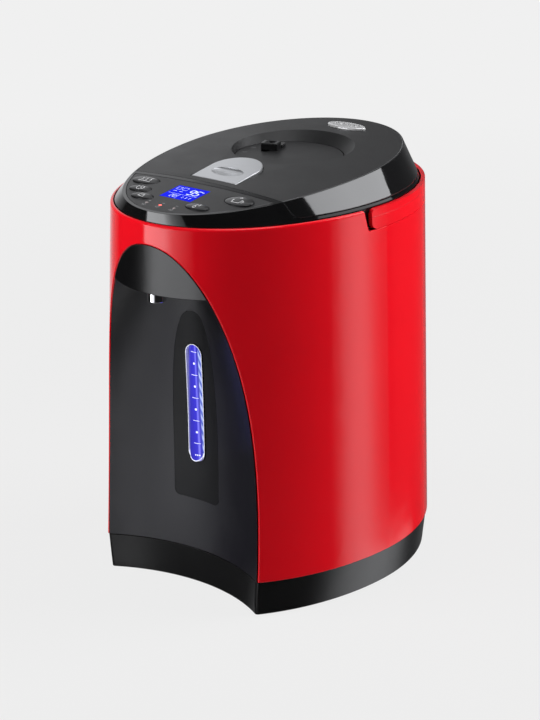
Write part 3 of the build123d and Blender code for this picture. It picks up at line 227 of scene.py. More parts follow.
def gloss_paint(name, color, rough, peel=0.005 * MM, specular=0.5, edge=None, radius=0.7 * MM, flatter=None,
                matt_from=None):
    """Lacquered or moulded gloss surface: orange peel, faint smears, dust specks, and lighter edges that are
    partly rubbed wear and partly a painted highlight.

    flatter is (lean, flattening), for a face less curved than the shell it sits in. matt_from is the
    distance behind which a duller rebate starts.
    """
    n = Nodes(name)
    smears = n.noise(14.0, detail=4.0, rough=0.6, vector=n.stretched((1.0, 1.0, 0.35)))
    specks = n.spread(n.cells(900.0), 1.0, 0.0, from_low=0.02, from_high=0.06)
    rim, soft = n.edges(radius)
    if flatter:
        lean, flattening = flatter
        x = n.axis("X")
        bow = n.math("MULTIPLY_ADD", n.math("MULTIPLY", x, x), flattening, n.math("MULTIPLY", x, lean))
        soft = n.bump(bow, 1.0, soft)
    surface = n.spread(smears, rough * 0.75, rough * 1.35)
    for duller, gain in ((specks, 0.12), (rim, 0.05)):
        surface = n.math("ADD", surface, n.math("MULTIPLY", duller, gain))
    normal = n.bump(n.noise(420.0, detail=2.0), peel, soft)
    normal = n.bump(n.noise(95.0, detail=1.0), peel * 2.2, normal)
    # lighter edge colour: partly rubbed wear, partly a painted highlight along the edges
    rubbed = edge or tinted(color, 1.3)
    base = n.mix(n.math("MULTIPLY", rim, 0.8), blotchy(n, color, 7.0, 0.035), rubbed)
    if matt_from is not None:
        specular = n.spread(n.axis("Y"), specular, specular * 0.2, matt_from - MM, matt_from)
    n.shader(base, surface, normal, Specular_IOR_Level=specular)
    return n.material


def grained_plastic(name, color, rough, grain=2600.0, depth=0.035 * MM, specular=0.5, drift=0.07,
                    radius=0.35 * MM, wear=1.7):
    """Spark-eroded moulded plastic: fine grain, polished edges, a little rubbed and dusty in places."""
    n = Nodes(name)
    fine = n.noise(grain, detail=2.0, rough=0.6)
    pits = n.cells(grain * 0.45)
    height = n.math("ADD", fine, n.math("MULTIPLY", pits, 0.6))
    rubbed = n.noise(22.0, detail=4.0, rough=0.6)
    rim, soft = n.edges(radius)
    base = drifting(n, fine, color, 1 - drift, 1 + drift)
    dusty = n.mix(n.spread(rubbed, 0.0, 0.16, from_low=0.45, from_high=0.75), base, tinted(color, 1.6))
    worn = n.mix(n.math("MULTIPLY", rim, n.spread(rubbed, 0.1, 0.8)), dusty, tinted(color, wear))
    polish = n.math("MULTIPLY", rim, rough * 0.3)
    surface = n.math("SUBTRACT", n.spread(rubbed, rough * 1.06, rough * 0.88), polish)
    n.shader(worn, surface, n.bump(height, depth, soft), Specular_IOR_Level=specular)
    return n.material


def brushed_metal(name, color, rough, along=(1.0, 1.0, 1.0), metallic=1.0, depth=0.006 * MM):
    """Metal with fine drawing lines, stretched along the axis whose scale is small."""
    n = Nodes(name)
    lines = n.noise(1400.0, detail=4.0, rough=0.7, vector=n.stretched(along))
    patches = n.noise(30.0, detail=3.0)
    base = drifting(n, lines, color, 0.95, 1.04)
    surface = n.math("ADD", n.spread(lines, rough * 0.85, rough * 1.15), n.spread(patches, -0.01, 0.02))
    n.shader(base, surface, n.bump(lines, depth), Metallic=metallic)
    return n.material


def crowned_metal(name, node, color, rough, radius, metallic):
    """Satin metal pressed to a slight crown round the node's middle, with fine rubbing marks."""
    n = Nodes(name)
    low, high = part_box(node)
    across = n.math("SUBTRACT", n.axis("X"), (low.x + high.x) / 2)
    along = n.math("SUBTRACT", n.axis("Y"), (low.y + high.y) / 2)
    square = n.math("MULTIPLY_ADD", across, across, n.math("MULTIPLY", along, along))
    crown = n.bump(n.math("MULTIPLY", square, -0.5 / radius), 1.0)
    rubs = n.noise(240.0, detail=4.0, rough=0.65, vector=n.stretched((0.3, 1.0, 1.0)))
    base = drifting(n, rubs, color, 0.97, 1.03)
    surface = n.spread(rubs, rough * 0.9, rough * 1.12)
    n.shader(base, surface, n.bump(rubs, 0.0012 * MM, crown), Metallic=metallic)
    return n.material


def polished_metal(name, color, rough, metallic=1.0):
    """Plated or turned metal with a faint haze."""
    n = Nodes(name)
    haze = n.noise(60.0, detail=4.0, rough=0.65)
    base = drifting(n, haze, color, 0.94, 1.03)
    surface = n.spread(haze, rough * 0.6, rough * 1.6)
    n.shader(base, surface, n.bump(n.noise(260.0, detail=2.0), 0.006 * MM), Metallic=metallic)
    return n.material


def soft_rubber(name, color, rough, **sockets):
    """Rubber or silicone: a dull skin with mould marks and dust."""
    n = Nodes(name)
    skin = n.noise(700.0, detail=3.0, rough=0.6)
    dust = n.noise(45.0, detail=4.0, rough=0.65)
    clean = blotchy(n, color, 120.0, 0.06)
    base = n.mix(n.spread(dust, 0.0, 0.22, from_low=0.45, from_high=0.7), clean, tinted(color, 1.5))
    n.shader(base, n.spread(skin, rough * 0.9, rough * 1.08), n.bump(skin, 0.03 * MM), **sockets)
    return n.material


def board_lacquer(name):
    """Circuit board: solder mask over copper tracks."""
    n = Nodes(name)
    tracks = n.add("ShaderNodeTexBrick")
    n.link(n.where, tracks.inputs["Vector"])
    tracks.inputs["Scale"].default_value = 160.0
    tracks.inputs["Mortar Size"].default_value = 0.06
    mask = blotchy(n, (0.012, 0.12, 0.05), 60.0, 0.15)
    base = n.mix(tracks.outputs["Fac"], mask, (0.02, 0.20, 0.08))
    n.shader(base, n.spread(n.noise(200.0), 0.28, 0.42), n.bump(tracks.outputs["Fac"], 0.03 * MM))
    return n.material


GAUGE_TOP_Z = 189 * MM              # the gauge's stripes lean to the right below this height
GAUGE_LEAN = 0.0356
GAUGE_SHADE_X = (-8.0 * MM, -0.5 * MM)      # from the dark left side to the lit middle
GAUGE_STRIPES = (                   # x, one over the width that it fades in, and colour
    (1.4 * MM, 900.0, (0.20, 0.19, 0.95)),
    (3.0 * MM, 1300.0, (0.02, 0.02, 0.38)),
)
# the right-hand facet is painted brighter, with light and dark stripes standing for its ribbing catching the
# light
GAUGE_FACET_X = (3.3 * MM, 3.8 * MM)
GAUGE_RIBS = (3.2, 760.0)           # slant, and radians to the metre


def lit_blue_window(name):
    """Clear lens in front of the lit tube: a pale band, a thin dark line, painted shade towards its left side,
    and a ribbed right-hand facet painted brighter with light and dark stripes.
    """
    n = Nodes(name)
    z = n.axis("Z")
    shift = n.math("MULTIPLY", n.math("SUBTRACT", GAUGE_TOP_Z, z), GAUGE_LEAN)
    x = n.math("SUBTRACT", n.axis("X"), shift)
    haze = n.noise(120.0, detail=3.0)
    # painted shade: the glow darkens towards the lens's left side
    body = n.mix(n.spread(x, 0.0, 1.0, *GAUGE_SHADE_X), (0.017, 0.013, 0.30), (0.032, 0.025, 0.58))
    body = n.mix(n.spread(haze, 0.0, 0.25), body, (0.018, 0.016, 0.46))
    for across, sharpness, color in GAUGE_STRIPES:
        off = n.math("MULTIPLY", n.math("ABSOLUTE", n.math("SUBTRACT", x, across)), sharpness)
        body = n.mix(n.math("MAXIMUM", n.math("SUBTRACT", 1.0, off), 0.0), body, color)
    # painted light and shade: the facet is painted brighter, with light and dark stripes across it
    slant, pitch = GAUGE_RIBS
    ribs = n.math("SINE", n.math("MULTIPLY", n.math("ADD", z, n.math("MULTIPLY", x, slant)), pitch))
    ribs = n.spread(ribs, 0.0, 1.0, from_low=-0.6, from_high=0.8)
    facet = n.mix(ribs, (0.10, 0.15, 0.62), (0.50, 0.60, 0.90))
    body = n.mix(n.spread(x, 0.0, 1.0, *GAUGE_FACET_X), body, facet)
    surface = n.spread(haze, 0.05, 0.12)
    n.shader((0.02, 0.02, 0.10), surface, n.bump(n.noise(300.0, detail=2.0), 0.008 * MM),
             Emission_Color=body, Emission_Strength=1.0)
    return n.material


def rimmed(name, low, high, half, line, rim, around):
    """Plastic ring whose white line runs at one distance from the gauge's centre line; the line also carries a
    faint painted glow.
    """
    n = Nodes(name)
    from_middle = n.math("ABSOLUTE", n.math("SUBTRACT", n.axis("Z"), (low + high) / 2))
    past = n.math("MAXIMUM", n.math("SUBTRACT", from_middle, (high - low) / 2 - half), 0.0)
    x = n.axis("X")
    reach = n.math("SQRT", n.math("ADD", n.math("MULTIPLY", x, x), n.math("MULTIPLY", past, past)))
    white = n.spread(reach, 1.0, 0.0, half + line, half + line * 1.5)
    grain = n.noise(900.0, detail=2.0)
    base = n.mix(white, around, n.mix(grain, tinted(rim, 0.93), rim))
    # the white line's faint glow is painted light; the ring is no lamp
    n.shader(base, n.spread(grain, 0.22, 0.34), n.bump(grain, 0.006 * MM),
             Emission_Color=(0.8, 0.82, 1.0), Emission_Strength=n.math("MULTIPLY", white, 0.12))
    return n.material


def lit_display(name):
    """Backlit liquid-crystal glass: a slightly uneven glow, with the faint grid of its electrodes."""
    n = Nodes(name)
    glow = n.noise(55.0, detail=2.0)
    body = n.mix(n.spread(glow, 0.0, 1.0), (0.006, 0.011, 0.72), (0.010, 0.018, 0.92))
    grid = n.math("SINE", n.math("MULTIPLY", n.axis("X"), 9000.0))
    body = n.mix(n.spread(grid, 0.0, 0.10, from_low=0.2, from_high=1.0), body, (0.0, 0.01, 0.45))
    n.shader((0.002, 0.003, 0.05), n.spread(glow, 0.25, 0.34), n.bump(n.noise(500.0, detail=2.0), 0.006 * MM),
             Emission_Color=body, Emission_Strength=1.0, Specular_IOR_Level=0.004)
    return n.material


LAMPS_X = -1.5 * MM                 # the middle one of the three indicator lamps


def indicator(name):
    """Three lamps behind one part; the middle one is on."""
    n = Nodes(name)
    middle = n.spread(n.math("ABSOLUTE", n.math("SUBTRACT", n.axis("X"), LAMPS_X)), 1.0, 0.0, 2 * MM, 4 * MM)
    grain = n.noise(900.0, detail=2.0)
    body = n.mix(middle, n.mix(grain, (0.16, 0.13, 0.13), (0.24, 0.20, 0.20)), (0.85, 0.10, 0.08))
    n.shader(body, n.spread(grain, 0.18, 0.32), n.bump(grain, 0.01 * MM),
             Emission_Color=(1.0, 0.12, 0.09), Emission_Strength=n.math("MULTIPLY", middle, 0.9))
    return n.material


def clear_plastic(name):
    """Faintly blue clear plastic."""
    n = Nodes(name)
    haze = n.noise(90.0, detail=3.0)
    n.shader(blotchy(n, (0.86, 0.90, 1.0), 20.0, 0.04), n.spread(haze, 0.03, 0.10),
             n.bump(n.noise(240.0, detail=2.0), 0.01 * MM), Transmission_Weight=0.9, IOR=1.49)
    return n.material


def glowing_strip(name):
    """Diffuser over a row of blue lamps, brighter over each."""
    n = Nodes(name)
    spots = n.math("SINE", n.math("MULTIPLY", n.axis("Z"), 700.0))
    spots = n.spread(spots, 0.0, 1.0, from_low=-1.0, from_high=1.0)
    body = n.mix(spots, (0.06, 0.07, 0.75), (0.25, 0.28, 1.0))
    n.shader((0.1, 0.1, 0.5), n.spread(n.noise(200.0), 0.3, 0.5),
             Emission_Color=body, Emission_Strength=1.0)
    return n.material


def ink(name, color, glow=0.0):
    """Printed marking: slightly uneven cover."""
    n = Nodes(name)
    cover = n.noise(2500.0, detail=3.0)
    base = n.mix(n.spread(cover, 0.0, 1.0), tinted(color, 0.82), color)
    n.shader(base, n.spread(cover, 0.35, 0.55), n.bump(cover, 0.006 * MM),
             Emission_Color=base, Emission_Strength=glow)
    return n.material


HANDLE_PARTING_Z = 293.6 * MM


def handle_plastic(name, color):
    """Gloss plastic with a parting line half way up."""
    n = Nodes(name)
    offset = n.math("ABSOLUTE", n.math("SUBTRACT", n.axis("Z"), HANDLE_PARTING_Z))
    line = n.spread(offset, 1.0, 0.0, 0.05 * MM, 0.3 * MM)
    smears = n.noise(16.0, detail=4.0, rough=0.6)
    groove = n.bump(line, -0.1 * MM)
    normal = n.bump(n.noise(380.0, detail=2.0), 0.01 * MM, groove)
    base = n.mix(n.math("MULTIPLY", line, 0.3), blotchy(n, color, 9.0, 0.04), tinted(color, 0.35))
    n.shader(base, n.spread(smears, 0.13, 0.22), normal)
    return n.material


RED = (0.62, 0.0037, 0.0100)
BLACK = (0.0035, 0.0035, 0.0038)
LID_GREY = (0.0085, 0.0085, 0.0088)

MATERIALS = {
    "red_shell": gloss_paint("red_lacquer", RED, 0.085, peel=0.006 * MM),
    "red_plastic": handle_plastic("red_gloss_plastic", RED),
    "black_gloss": gloss_paint("black_gloss_plastic", BLACK, 0.055, specular=0.95, edge=EDGE_HIGHLIGHT_GREY),
    "black_satin": grained_plastic("black_grained_plastic", (0.026, 0.026, 0.028), 0.5),
    "black_matt": grained_plastic("black_matt_plastic", (0.020, 0.020, 0.021), 0.62, grain=1700.0),
    "plate_grey": grained_plastic("smooth_satin_plastic", (0.0075, 0.0075, 0.0085), 0.32, grain=4200.0,
                                  depth=0.01 * MM, specular=0.35),
    "white_plastic": grained_plastic("white_plastic", (0.62, 0.63, 0.68), 0.25, grain=3000.0,
                                     depth=0.01 * MM, drift=0.02),
    "clear": clear_plastic("clear_plastic"),
    "blue_light": glowing_strip("blue_light_strip"),
    "display_blue": lit_display("lit_display"),
    "led": indicator("indicator_lamps"),
    "chrome": polished_metal("chrome_plating", (0.78, 0.78, 0.80), 0.05),
    "silver": brushed_metal("satin_silver", (0.66, 0.67, 0.69), 0.17, metallic=0.72, depth=0.0012 * MM),
    "steel": brushed_metal("drawn_steel", (0.58, 0.58, 0.59), 0.27, along=(1.0, 1.0, 0.05), metallic=0.75),
    "aluminium": brushed_metal("cast_aluminium", (0.60, 0.60, 0.61), 0.45, depth=0.02 * MM),
    "rubber": soft_rubber("black_rubber", (0.018, 0.018, 0.018), 0.75),
    "silicone": soft_rubber("pale_silicone", (0.62, 0.62, 0.60), 0.5, Subsurface_Weight=0.15),
    "green_board": board_lacquer("circuit_board"),
    "brass": polished_metal("brass_pins", (0.72, 0.50, 0.22), 0.18),
}

# nodes with a finish of their own
SPECIAL = {
    "gauge_window": lit_blue_window("lit_gauge_lens"),
    "steam_vent": polished_metal("plated_vent", (0.86, 0.86, 0.87), 0.10, metallic=0.7),
    "front_panel": grained_plastic("cove_grained_plastic", (0.0060, 0.0056, 0.0088), 0.39, depth=0.03 * MM,
                                   specular=0.75),
    "spout_cover": gloss_paint("nose_gloss_plastic", BLACK, 0.16, specular=0.37, edge=EDGE_HIGHLIGHT_GREY,
                               flatter=(0.04, 4.1)),
    # the collar's edges get a faint painted highlight, three times its black
    "collar_ring": gloss_paint("collar_gloss_plastic", BLACK, 0.055, specular=0.95, edge=tinted(BLACK, 3.0),
                               radius=0.3 * MM, matt_from=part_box("control_panel")[1].y - 3 * MM),
    "release_lever": crowned_metal("crowned_silver", "release_lever", (0.64, 0.65, 0.67), 0.32, radius=600 * MM,
                                   metallic=0.88),
    "lid_cover": grained_plastic("lid_grained_plastic", LID_GREY, 0.44, grain=2100.0, depth=0.06 * MM,
                                 radius=0.15 * MM, wear=1.1),
    "pump_plate": grained_plastic("plate_grained_plastic", LID_GREY, 0.44, grain=2100.0, depth=0.06 * MM),
    "control_panel": grained_plastic("panel_grained_plastic", (0.0100, 0.0100, 0.0105), 0.42, grain=3200.0,
                                     depth=0.03 * MM, radius=0.15 * MM, wear=1.1),
    "base_housing": grained_plastic("base_grained_plastic", (0.0075, 0.0075, 0.0078), 0.25, depth=0.012 * MM,
                                    specular=0.3),
}
BUTTON_NODES = ("button_boil", "button_timer", "button_lock", "button_temperature", "button_dispense")
BUTTON_MATERIAL = gloss_paint("button_satin_plastic", (0.009, 0.009, 0.0095), 0.14, peel=0.004 * MM,
                              edge=EDGE_HIGHLIGHT_GREY)
GAUGE_RIM = {"line": 0.5 * MM, "rim": (0.82, 0.83, 0.88), "around": (0.0075, 0.0075, 0.0085)}


def dress_nodes():
    """Gives each CAD node its own finish, or else the one that its material slot stands for."""
    low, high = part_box("gauge_window")
    SPECIAL["gauge_bezel"] = rimmed("gauge_rim_plastic", low.z, high.z, high.x, **GAUGE_RIM)
    for name in BUTTON_NODES:
        SPECIAL[name] = BUTTON_MATERIAL
    slots = {part["node"]: part["material_slot"] for part in frame["record"]["subparts"]}
    for name, node in NODES.items():
        node.data.materials.clear()
        node.data.materials.append(SPECIAL.get(name) or MATERIALS[slots[name]])


# ======== printed marks that follow a surface ========

CAST_FROM = 20 * MM                 # a mark is dropped from this height over its drawing plane
CAST_REACH = 60 * MM
MERGE = 0.004 * MM                  # corners nearer than this become one


class Surface:
    """Casts flat drawings onto CAD nodes along the drawing plane's normal."""

    def __init__(self, nodes, origin, normal):
        self.trees = []
        for name in nodes:
            mesh = NODES[name].data
            corners = [v.co.copy() for v in mesh.vertices]
            self.trees.append(BVHTree.FromPolygons(corners, [tuple(p.vertices) for p in mesh.polygons]))
        self.normal = Vector(normal).normalized()
        self.x = Vector((1.0, 0.0, 0.0))
        self.y = self.normal.cross(self.x).normalized()
        self.origin = Vector(origin)

    def on(self, u, v, lift):
        """Point of the surface under (u, v), given in millimetres, lifted along the normal."""
        place = self.origin + self.x * (u * MM) + self.y * (v * MM)
        start = place + self.normal * CAST_FROM
        nearest = CAST_REACH
        for tree in self.trees:
            point, _, _, distance = tree.ray_cast(start, -self.normal, CAST_REACH)
            if point is not None and distance < nearest:
                place, nearest = point, distance
        return place + self.normal * (lift * MM)


class Drawing:
    """Flat marks as small quads, in millimetres."""

    def __init__(self, step=0.6):
        self.quads = []
        self.step = step

    def grown(self, share):
        self.quads = [[(u * share, v * share) for u, v in quad] for quad in self.quads]
        return self

    def strip(self, edges):
        """Quads between a row of edges, each a pair of points."""
        for (low, high), (next_low, next_high) in zip(edges, edges[1:]):
            self.quads.append([low, next_low, next_high, high])

    def line(self, start, end, width):
        run, rise = end[0] - start[0], end[1] - start[1]
        length = hypot(run, rise)
        nx, ny = -rise / length * width / 2, run / length * width / 2
        count = max(1, round(length / self.step))
        edges = []
        for index in range(count + 1):
            x = start[0] + run * index / count
            y = start[1] + rise * index / count
            edges.append(((x - nx, y - ny), (x + nx, y + ny)))
        self.strip(edges)

    def path(self, points, width, closed=False):
        ends = list(points) + ([points[0]] if closed else [])
        for start, end in zip(ends, ends[1:]):
            self.line(start, end, width)

    def arc(self, centre, radius, start, sweep, width, count=24):
        """Bow from the angle start, over the angle sweep, in degrees."""
        edges = []
        for index in range(count + 1):
            angle = radians(start + sweep * index / count)
            edges.append([(centre[0] + r * cos(angle), centre[1] + r * sin(angle))
                          for r in (radius - width / 2, radius + width / 2)])
        self.strip(edges)

    def disc(self, centre, radius, count=16):
        for index in range(0, count, 2):
            angles = [2 * pi * (index + k) / count for k in range(3)]
            rim = [(centre[0] + radius * cos(a), centre[1] + radius * sin(a)) for a in angles]
            self.quads.append([centre, *rim])


def printed(name, drawing, surface, body, material, lift=0.03, thickness=0.05):
    """One thin piece from all of a drawing's marks, laid on a surface."""
    mesh = bmesh.new()
    for quad in drawing.quads:
        mesh.faces.new([mesh.verts.new(surface.on(u, v, lift)) for u, v in quad])
    bmesh.ops.remove_doubles(mesh, verts=mesh.verts, dist=MERGE)
    for face in mesh.faces:
        face.normal_update()
        if face.normal.dot(surface.normal) < 0:
            face.normal_flip()
    data = bpy.data.meshes.new(name)
    mesh.to_mesh(data)
    mesh.free()
    piece = bpy.data.objects.new(name, data)
    bpy.context.scene.collection.objects.link(piece)
    data.materials.append(material)
    solid = piece.modifiers.new("thickness", "SOLIDIFY")
    solid.thickness = thickness * MM
    solid.offset = -1.0
    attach(piece, body)


# ---- marks on the display, the gauge, the buttons and the panel, in millimetres ----

SEGMENTS = {"0": "abcdef", "1": "bc", "2": "abged", "5": "afgcd", "9": "abcdfg"}


def panel_normal():
    """Normal of the display's flat top, which the control panel shares."""
    for polygon in NODES["display_window"].data.polygons:
        if polygon.normal.z > 0.9:
            return polygon.normal.copy()


DIGIT_SLANT = 0.08
SEGMENT_GAP = 0.35                  # share of the stroke


def digit(drawing, text, x, y, width, height, stroke):
    """Seven-segment digit with its lower left corner at (x, y)."""
    left, right = x, x + width
    low, middle, high = y, y + height / 2, y + height
    ends = {"a": ((left, high), (right, high)), "b": ((right, high), (right, middle)),
            "c": ((right, middle), (right, low)), "d": ((left, low), (right, low)),
            "e": ((left, middle), (left, low)), "f": ((left, high), (left, middle)),
            "g": ((left, middle), (right, middle))}
    for key in SEGMENTS[text]:
        (x0, y0), (x1, y1) = ends[key]
        gap = stroke * SEGMENT_GAP / hypot(x1 - x0, y1 - y0)
        ux, uy = (x1 - x0) * gap, (y1 - y0) * gap
        lean0, lean1 = DIGIT_SLANT * (y0 - low), DIGIT_SLANT * (y1 - low)
        drawing.line((x0 + ux + lean0, y0 + uy), (x1 - ux + lean1, y1 - uy), stroke)


def make_display_marks():
    low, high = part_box("display_window")
    surface = Surface(["display_window"], (low + high) / 2, panel_normal())
    marks = Drawing()
    for text, x in (("9", 1.6), ("5", 6.9)):                # the temperature, with its degree sign
        digit(marks, text, x, -0.8, 3.7, 8.2, 0.85)
    marks.arc((12.4, 6.4), 0.6, 0, 360, 0.3, 12)
    marks.line((-13.4, -2.9), (13.4, -2.9), 0.2)            # the lines that part the fields
    marks.line((-1.6, -2.9), (-1.6, -10.4), 0.2)
    for x in (-12.6, -6.8):                                 # two boxes with a bar under each
        marks.path([(x, 8.8), (x, 4.6), (x + 4.0, 4.6), (x + 4.0, 8.8)], 0.24, True)
        marks.line((x + 0.2, 1.4), (x + 3.6, 1.4), 0.35)
    for text, x in (("2", -8.2), ("0", -5.2)):
        digit(marks, text, x, -8.8, 1.7, 3.8, 0.4)
    for x in (2.0, 5.4, 8.8):
        digit(marks, "1", x, -8.6, 1.4, 3.2, 0.45)
    white = ink("display_white", (0.62, 0.70, 1.0), 0.6)
    printed("display_segments", marks, surface, "pot_body", white, 0.02, 0.03)


SCALE_TOP, SCALE_PITCH, SCALE_MARKS = 189.3, 9.06, 9
SCALE_FOOT = 107.4                  # height of the short mark at the bottom
RIM_INSET = 0.4                     # from the lens's outline in to the rim's lower bow


def make_gauge_marks():
    """Scale on the lens: long dashes and dots in turn, a short mark at the bottom, and the rim's lower bow."""
    low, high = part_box("gauge_window")
    surface = Surface(["gauge_window", "gauge_bezel"], (0.0, low.y - 2 * MM, 0.0), (0.0, -1.0, 0.0))
    marks = Drawing(0.4)
    for index in range(SCALE_MARKS):
        z = SCALE_TOP - SCALE_PITCH * index
        x = -0.2 + (GAUGE_TOP_Z / MM - z) * GAUGE_LEAN
        if index % 2 == 0:
            marks.line((x - 2.6, z), (x + 2.7, z), 0.42)
        else:
            marks.disc((x + 0.3, z), 0.95)
    for x in (0.6, 2.2, 3.8):
        marks.line((x, SCALE_FOOT), (x + 1.0, SCALE_FOOT - 0.2), 1.1)
    half = high.x / MM - RIM_INSET
    marks.arc((0.0, low.z / MM + half + RIM_INSET), half, 180, 180, 0.75, 40)
    white = ink("gauge_white", (0.80, 0.82, 1.0), 0.42)
    printed("gauge_scale", marks, surface, "pot_body", white)


def top_point(name, normal):
    """Point of a node that lies furthest out along a normal."""
    return max(NODES[name].data.vertices, key=lambda v: v.co.dot(normal)).co.copy()


ICON_SHARE = {"button_boil": 1.9, "button_timer": 1.5, "button_lock": 1.5, "button_temperature": 1.6,
              "button_dispense": 1.8}


def make_button_icons():
    normal = panel_normal()
    grey = ink("icon_grey", (0.42, 0.42, 0.43))
    icons = {name: Drawing(0.5) for name in BUTTON_NODES}
    boil = icons["button_boil"]                      # three rising waves over a bar
    for x in (-2.0, 0.0, 2.0):
        boil.path([(x, -0.6), (x + 0.5, 0.3), (x - 0.3, 1.2), (x + 0.3, 2.1)], 0.42)
    boil.line((-3.0, -1.5), (3.0, -1.5), 0.45)
    timer = icons["button_timer"]                    # clock face
    timer.arc((0, 0), 2.0, 0, 360, 0.4, 24)
    timer.path([(0, 1.3), (0, 0), (1.0, -0.5)], 0.38)
    lock = icons["button_lock"]                      # padlock
    lock.path([(-1.5, -1.7), (1.5, -1.7), (1.5, 0.2), (-1.5, 0.2)], 0.42, True)
    lock.arc((0, 0.3), 1.0, 0, 180, 0.38, 12)
    temperature = icons["button_temperature"]        # thermometer
    temperature.arc((-0.6, -1.3), 0.8, 0, 360, 0.4, 14)
    temperature.line((-0.6, -0.5), (-0.6, 2.0), 0.5)
    for y in (0.2, 1.0, 1.8):
        temperature.line((0.4, y), (1.6, y), 0.34)
    dispense = icons["button_dispense"]              # cup under a drop
    dispense.path([(-2.6, 0.2), (-2.0, -2.6), (1.4, -2.6), (2.0, 0.2)], 0.45)
    dispense.arc((2.1, -1.2), 0.9, -80, 170, 0.38, 10)
    dispense.path([(-0.3, 2.9), (-0.9, 1.7), (0.3, 1.7)], 0.4, True)
    for name, drawing in icons.items():
        surface = Surface([name], top_point(name, normal), normal)
        piece = name.replace("button", "icon")
        printed(piece, drawing.grown(ICON_SHARE[name]), surface, name, grey, 0.02, 0.04)


def make_panel_marks():
    """Small legends beside the three indicator lamps."""
    low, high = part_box("status_leds")
    surface = Surface(["control_panel"], (LAMPS_X, (low.y + high.y) / 2, high.z), panel_normal())
    marks = Drawing(0.4)
    for x in (-13.0, 0.0, 13.0):
        marks.path([(x - 1.4, -3.3), (x + 1.4, -3.3), (x + 1.4, -4.9), (x - 1.4, -4.9)], 0.3, True)
        marks.line((x - 1.0, 2.9), (x + 1.2, 2.9), 0.45)
    grey = ink("legend_grey", (0.26, 0.26, 0.27))
    printed("lamp_legends", marks, surface, "pot_body", grey)


def make_plate_marks():
    """Open and closed signs beside the lock knob's track."""
    low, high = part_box("pump_plate")
    surface = Surface(["pump_plate"], (0.0, (low.y + high.y) / 2, high.z), (0.0, 0.0, 1.0))
    marks = Drawing(0.4)
    for x, y, shackle in ((-37.2, 1.2, 1.4), (-33.6, -13.6, 2.3)):
        marks.path([(x, y), (x + 2.8, y), (x + 2.8, y - 2.0), (x, y - 2.0)], 0.35, True)
        marks.arc((x + shackle, y + 0.1), 0.9, 0, 180, 0.32, 10)
    grey = ink("sign_grey", (0.13, 0.13, 0.135))
    printed("knob_signs", marks, surface, "pump_plate", grey)


# ======== air pump: the two pieces that stand in for the bellows and the spring ===

FOLDS = 5
FOLD_DEPTH = 7.0 * MM
FOLD_STEPS = 8                      # points along each fold
BELLOWS_WALL = 1.4 * MM
BELLOWS_SIDES = 72
SPRING_TURNS = 5
TURN_STEPS = 36
WIRE_R = 1.1 * MM
WIRE_SIDES = 10


def skin(rings, closed):
    """Mesh over rings of points; closed joins the last ring to the first, else the ends get caps."""
    mesh = bmesh.new()
    loops = [[mesh.verts.new(point) for point in ring] for ring in rings]
    for first, second in zip(loops, loops[1:] + loops[:1] if closed else loops[1:]):
        for k in range(len(first)):
            mesh.faces.new([first[k - 1], first[k], second[k], second[k - 1]])
    if not closed:
        mesh.faces.new(loops[0])
        mesh.faces.new(loops[-1])
    bmesh.ops.recalc_face_normals(mesh, faces=mesh.faces)
    for face in mesh.faces:
        face.smooth = True
    return mesh


def folding(name, mesh, node, slot):
    """Piece in place of a node of the lid, parented to the lid; the node itself is hidden."""
    data = bpy.data.meshes.new(name)
    mesh.to_mesh(data)
    mesh.free()
    data.materials.append(MATERIALS[slot])
    piece = bpy.data.objects.new(name, data)
    bpy.context.scene.collection.objects.link(piece)
    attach(piece, "lid")
    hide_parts(node)
    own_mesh(piece)


def make_bellows():
    """Rubber bellows with rounded folds."""
    low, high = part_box("pump_bellows")
    middle = (low + high) / 2
    outer = (high.x - low.x) / 2
    steps = FOLDS * FOLD_STEPS
    outside = []
    for index in range(steps + 1):
        share = index / steps
        radius = outer - FOLD_DEPTH * (1 + cos(2 * pi * FOLDS * share)) / 2
        outside.append((radius, low.z + (high.z - low.z) * share))
    profile = outside + [(radius - BELLOWS_WALL, z) for radius, z in reversed(outside)]
    rings = []
    for index in range(BELLOWS_SIDES):
        turn = 2 * pi * index / BELLOWS_SIDES
        rings.append([Vector((middle.x + r * cos(turn), middle.y + r * sin(turn), z)) for r, z in profile])
    folding("bellows_folds", skin(rings, True), "pump_bellows", "rubber")


def make_return_spring():
    """Round wire wound in open turns."""
    low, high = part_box("pump_spring")
    middle = (low + high) / 2
    radius = (high.x - low.x) / 2 - WIRE_R
    climb = high.z - low.z - 2 * WIRE_R
    steps = SPRING_TURNS * TURN_STEPS
    rings = []
    for index in range(steps + 1):
        share = index / steps
        turn = 2 * pi * SPRING_TURNS * share
        out = Vector((cos(turn), sin(turn), 0.0))
        core = Vector((middle.x, middle.y, low.z + WIRE_R + climb * share)) + out * radius
        ring = []
        for side in range(WIRE_SIDES):
            angle = 2 * pi * side / WIRE_SIDES
            ring.append(core + out * (WIRE_R * cos(angle)) + Vector((0.0, 0.0, WIRE_R * sin(angle))))
        rings.append(ring)
    folding("return_spring", skin(rings, False), "pump_spring", "steel")


# ======== studio ========

SKY = 0.863                         # linear value of the pale backdrop
FLOOR_GLOW = SKY * 1.01
FILL = 0.12                         # light from the rest of the room
PAPER = 0.35                        # the sweep's own colour as a diffuse surface
PAPER_SHARE = 0.07                  # how much of it is seen near the pot, where it holds the shadow
PAPER_REACH = (0.45, 1.5)           # from here to here the paper gives way to the glow alone
FLOOR_HALF = 20.0                   # half of the floor's side


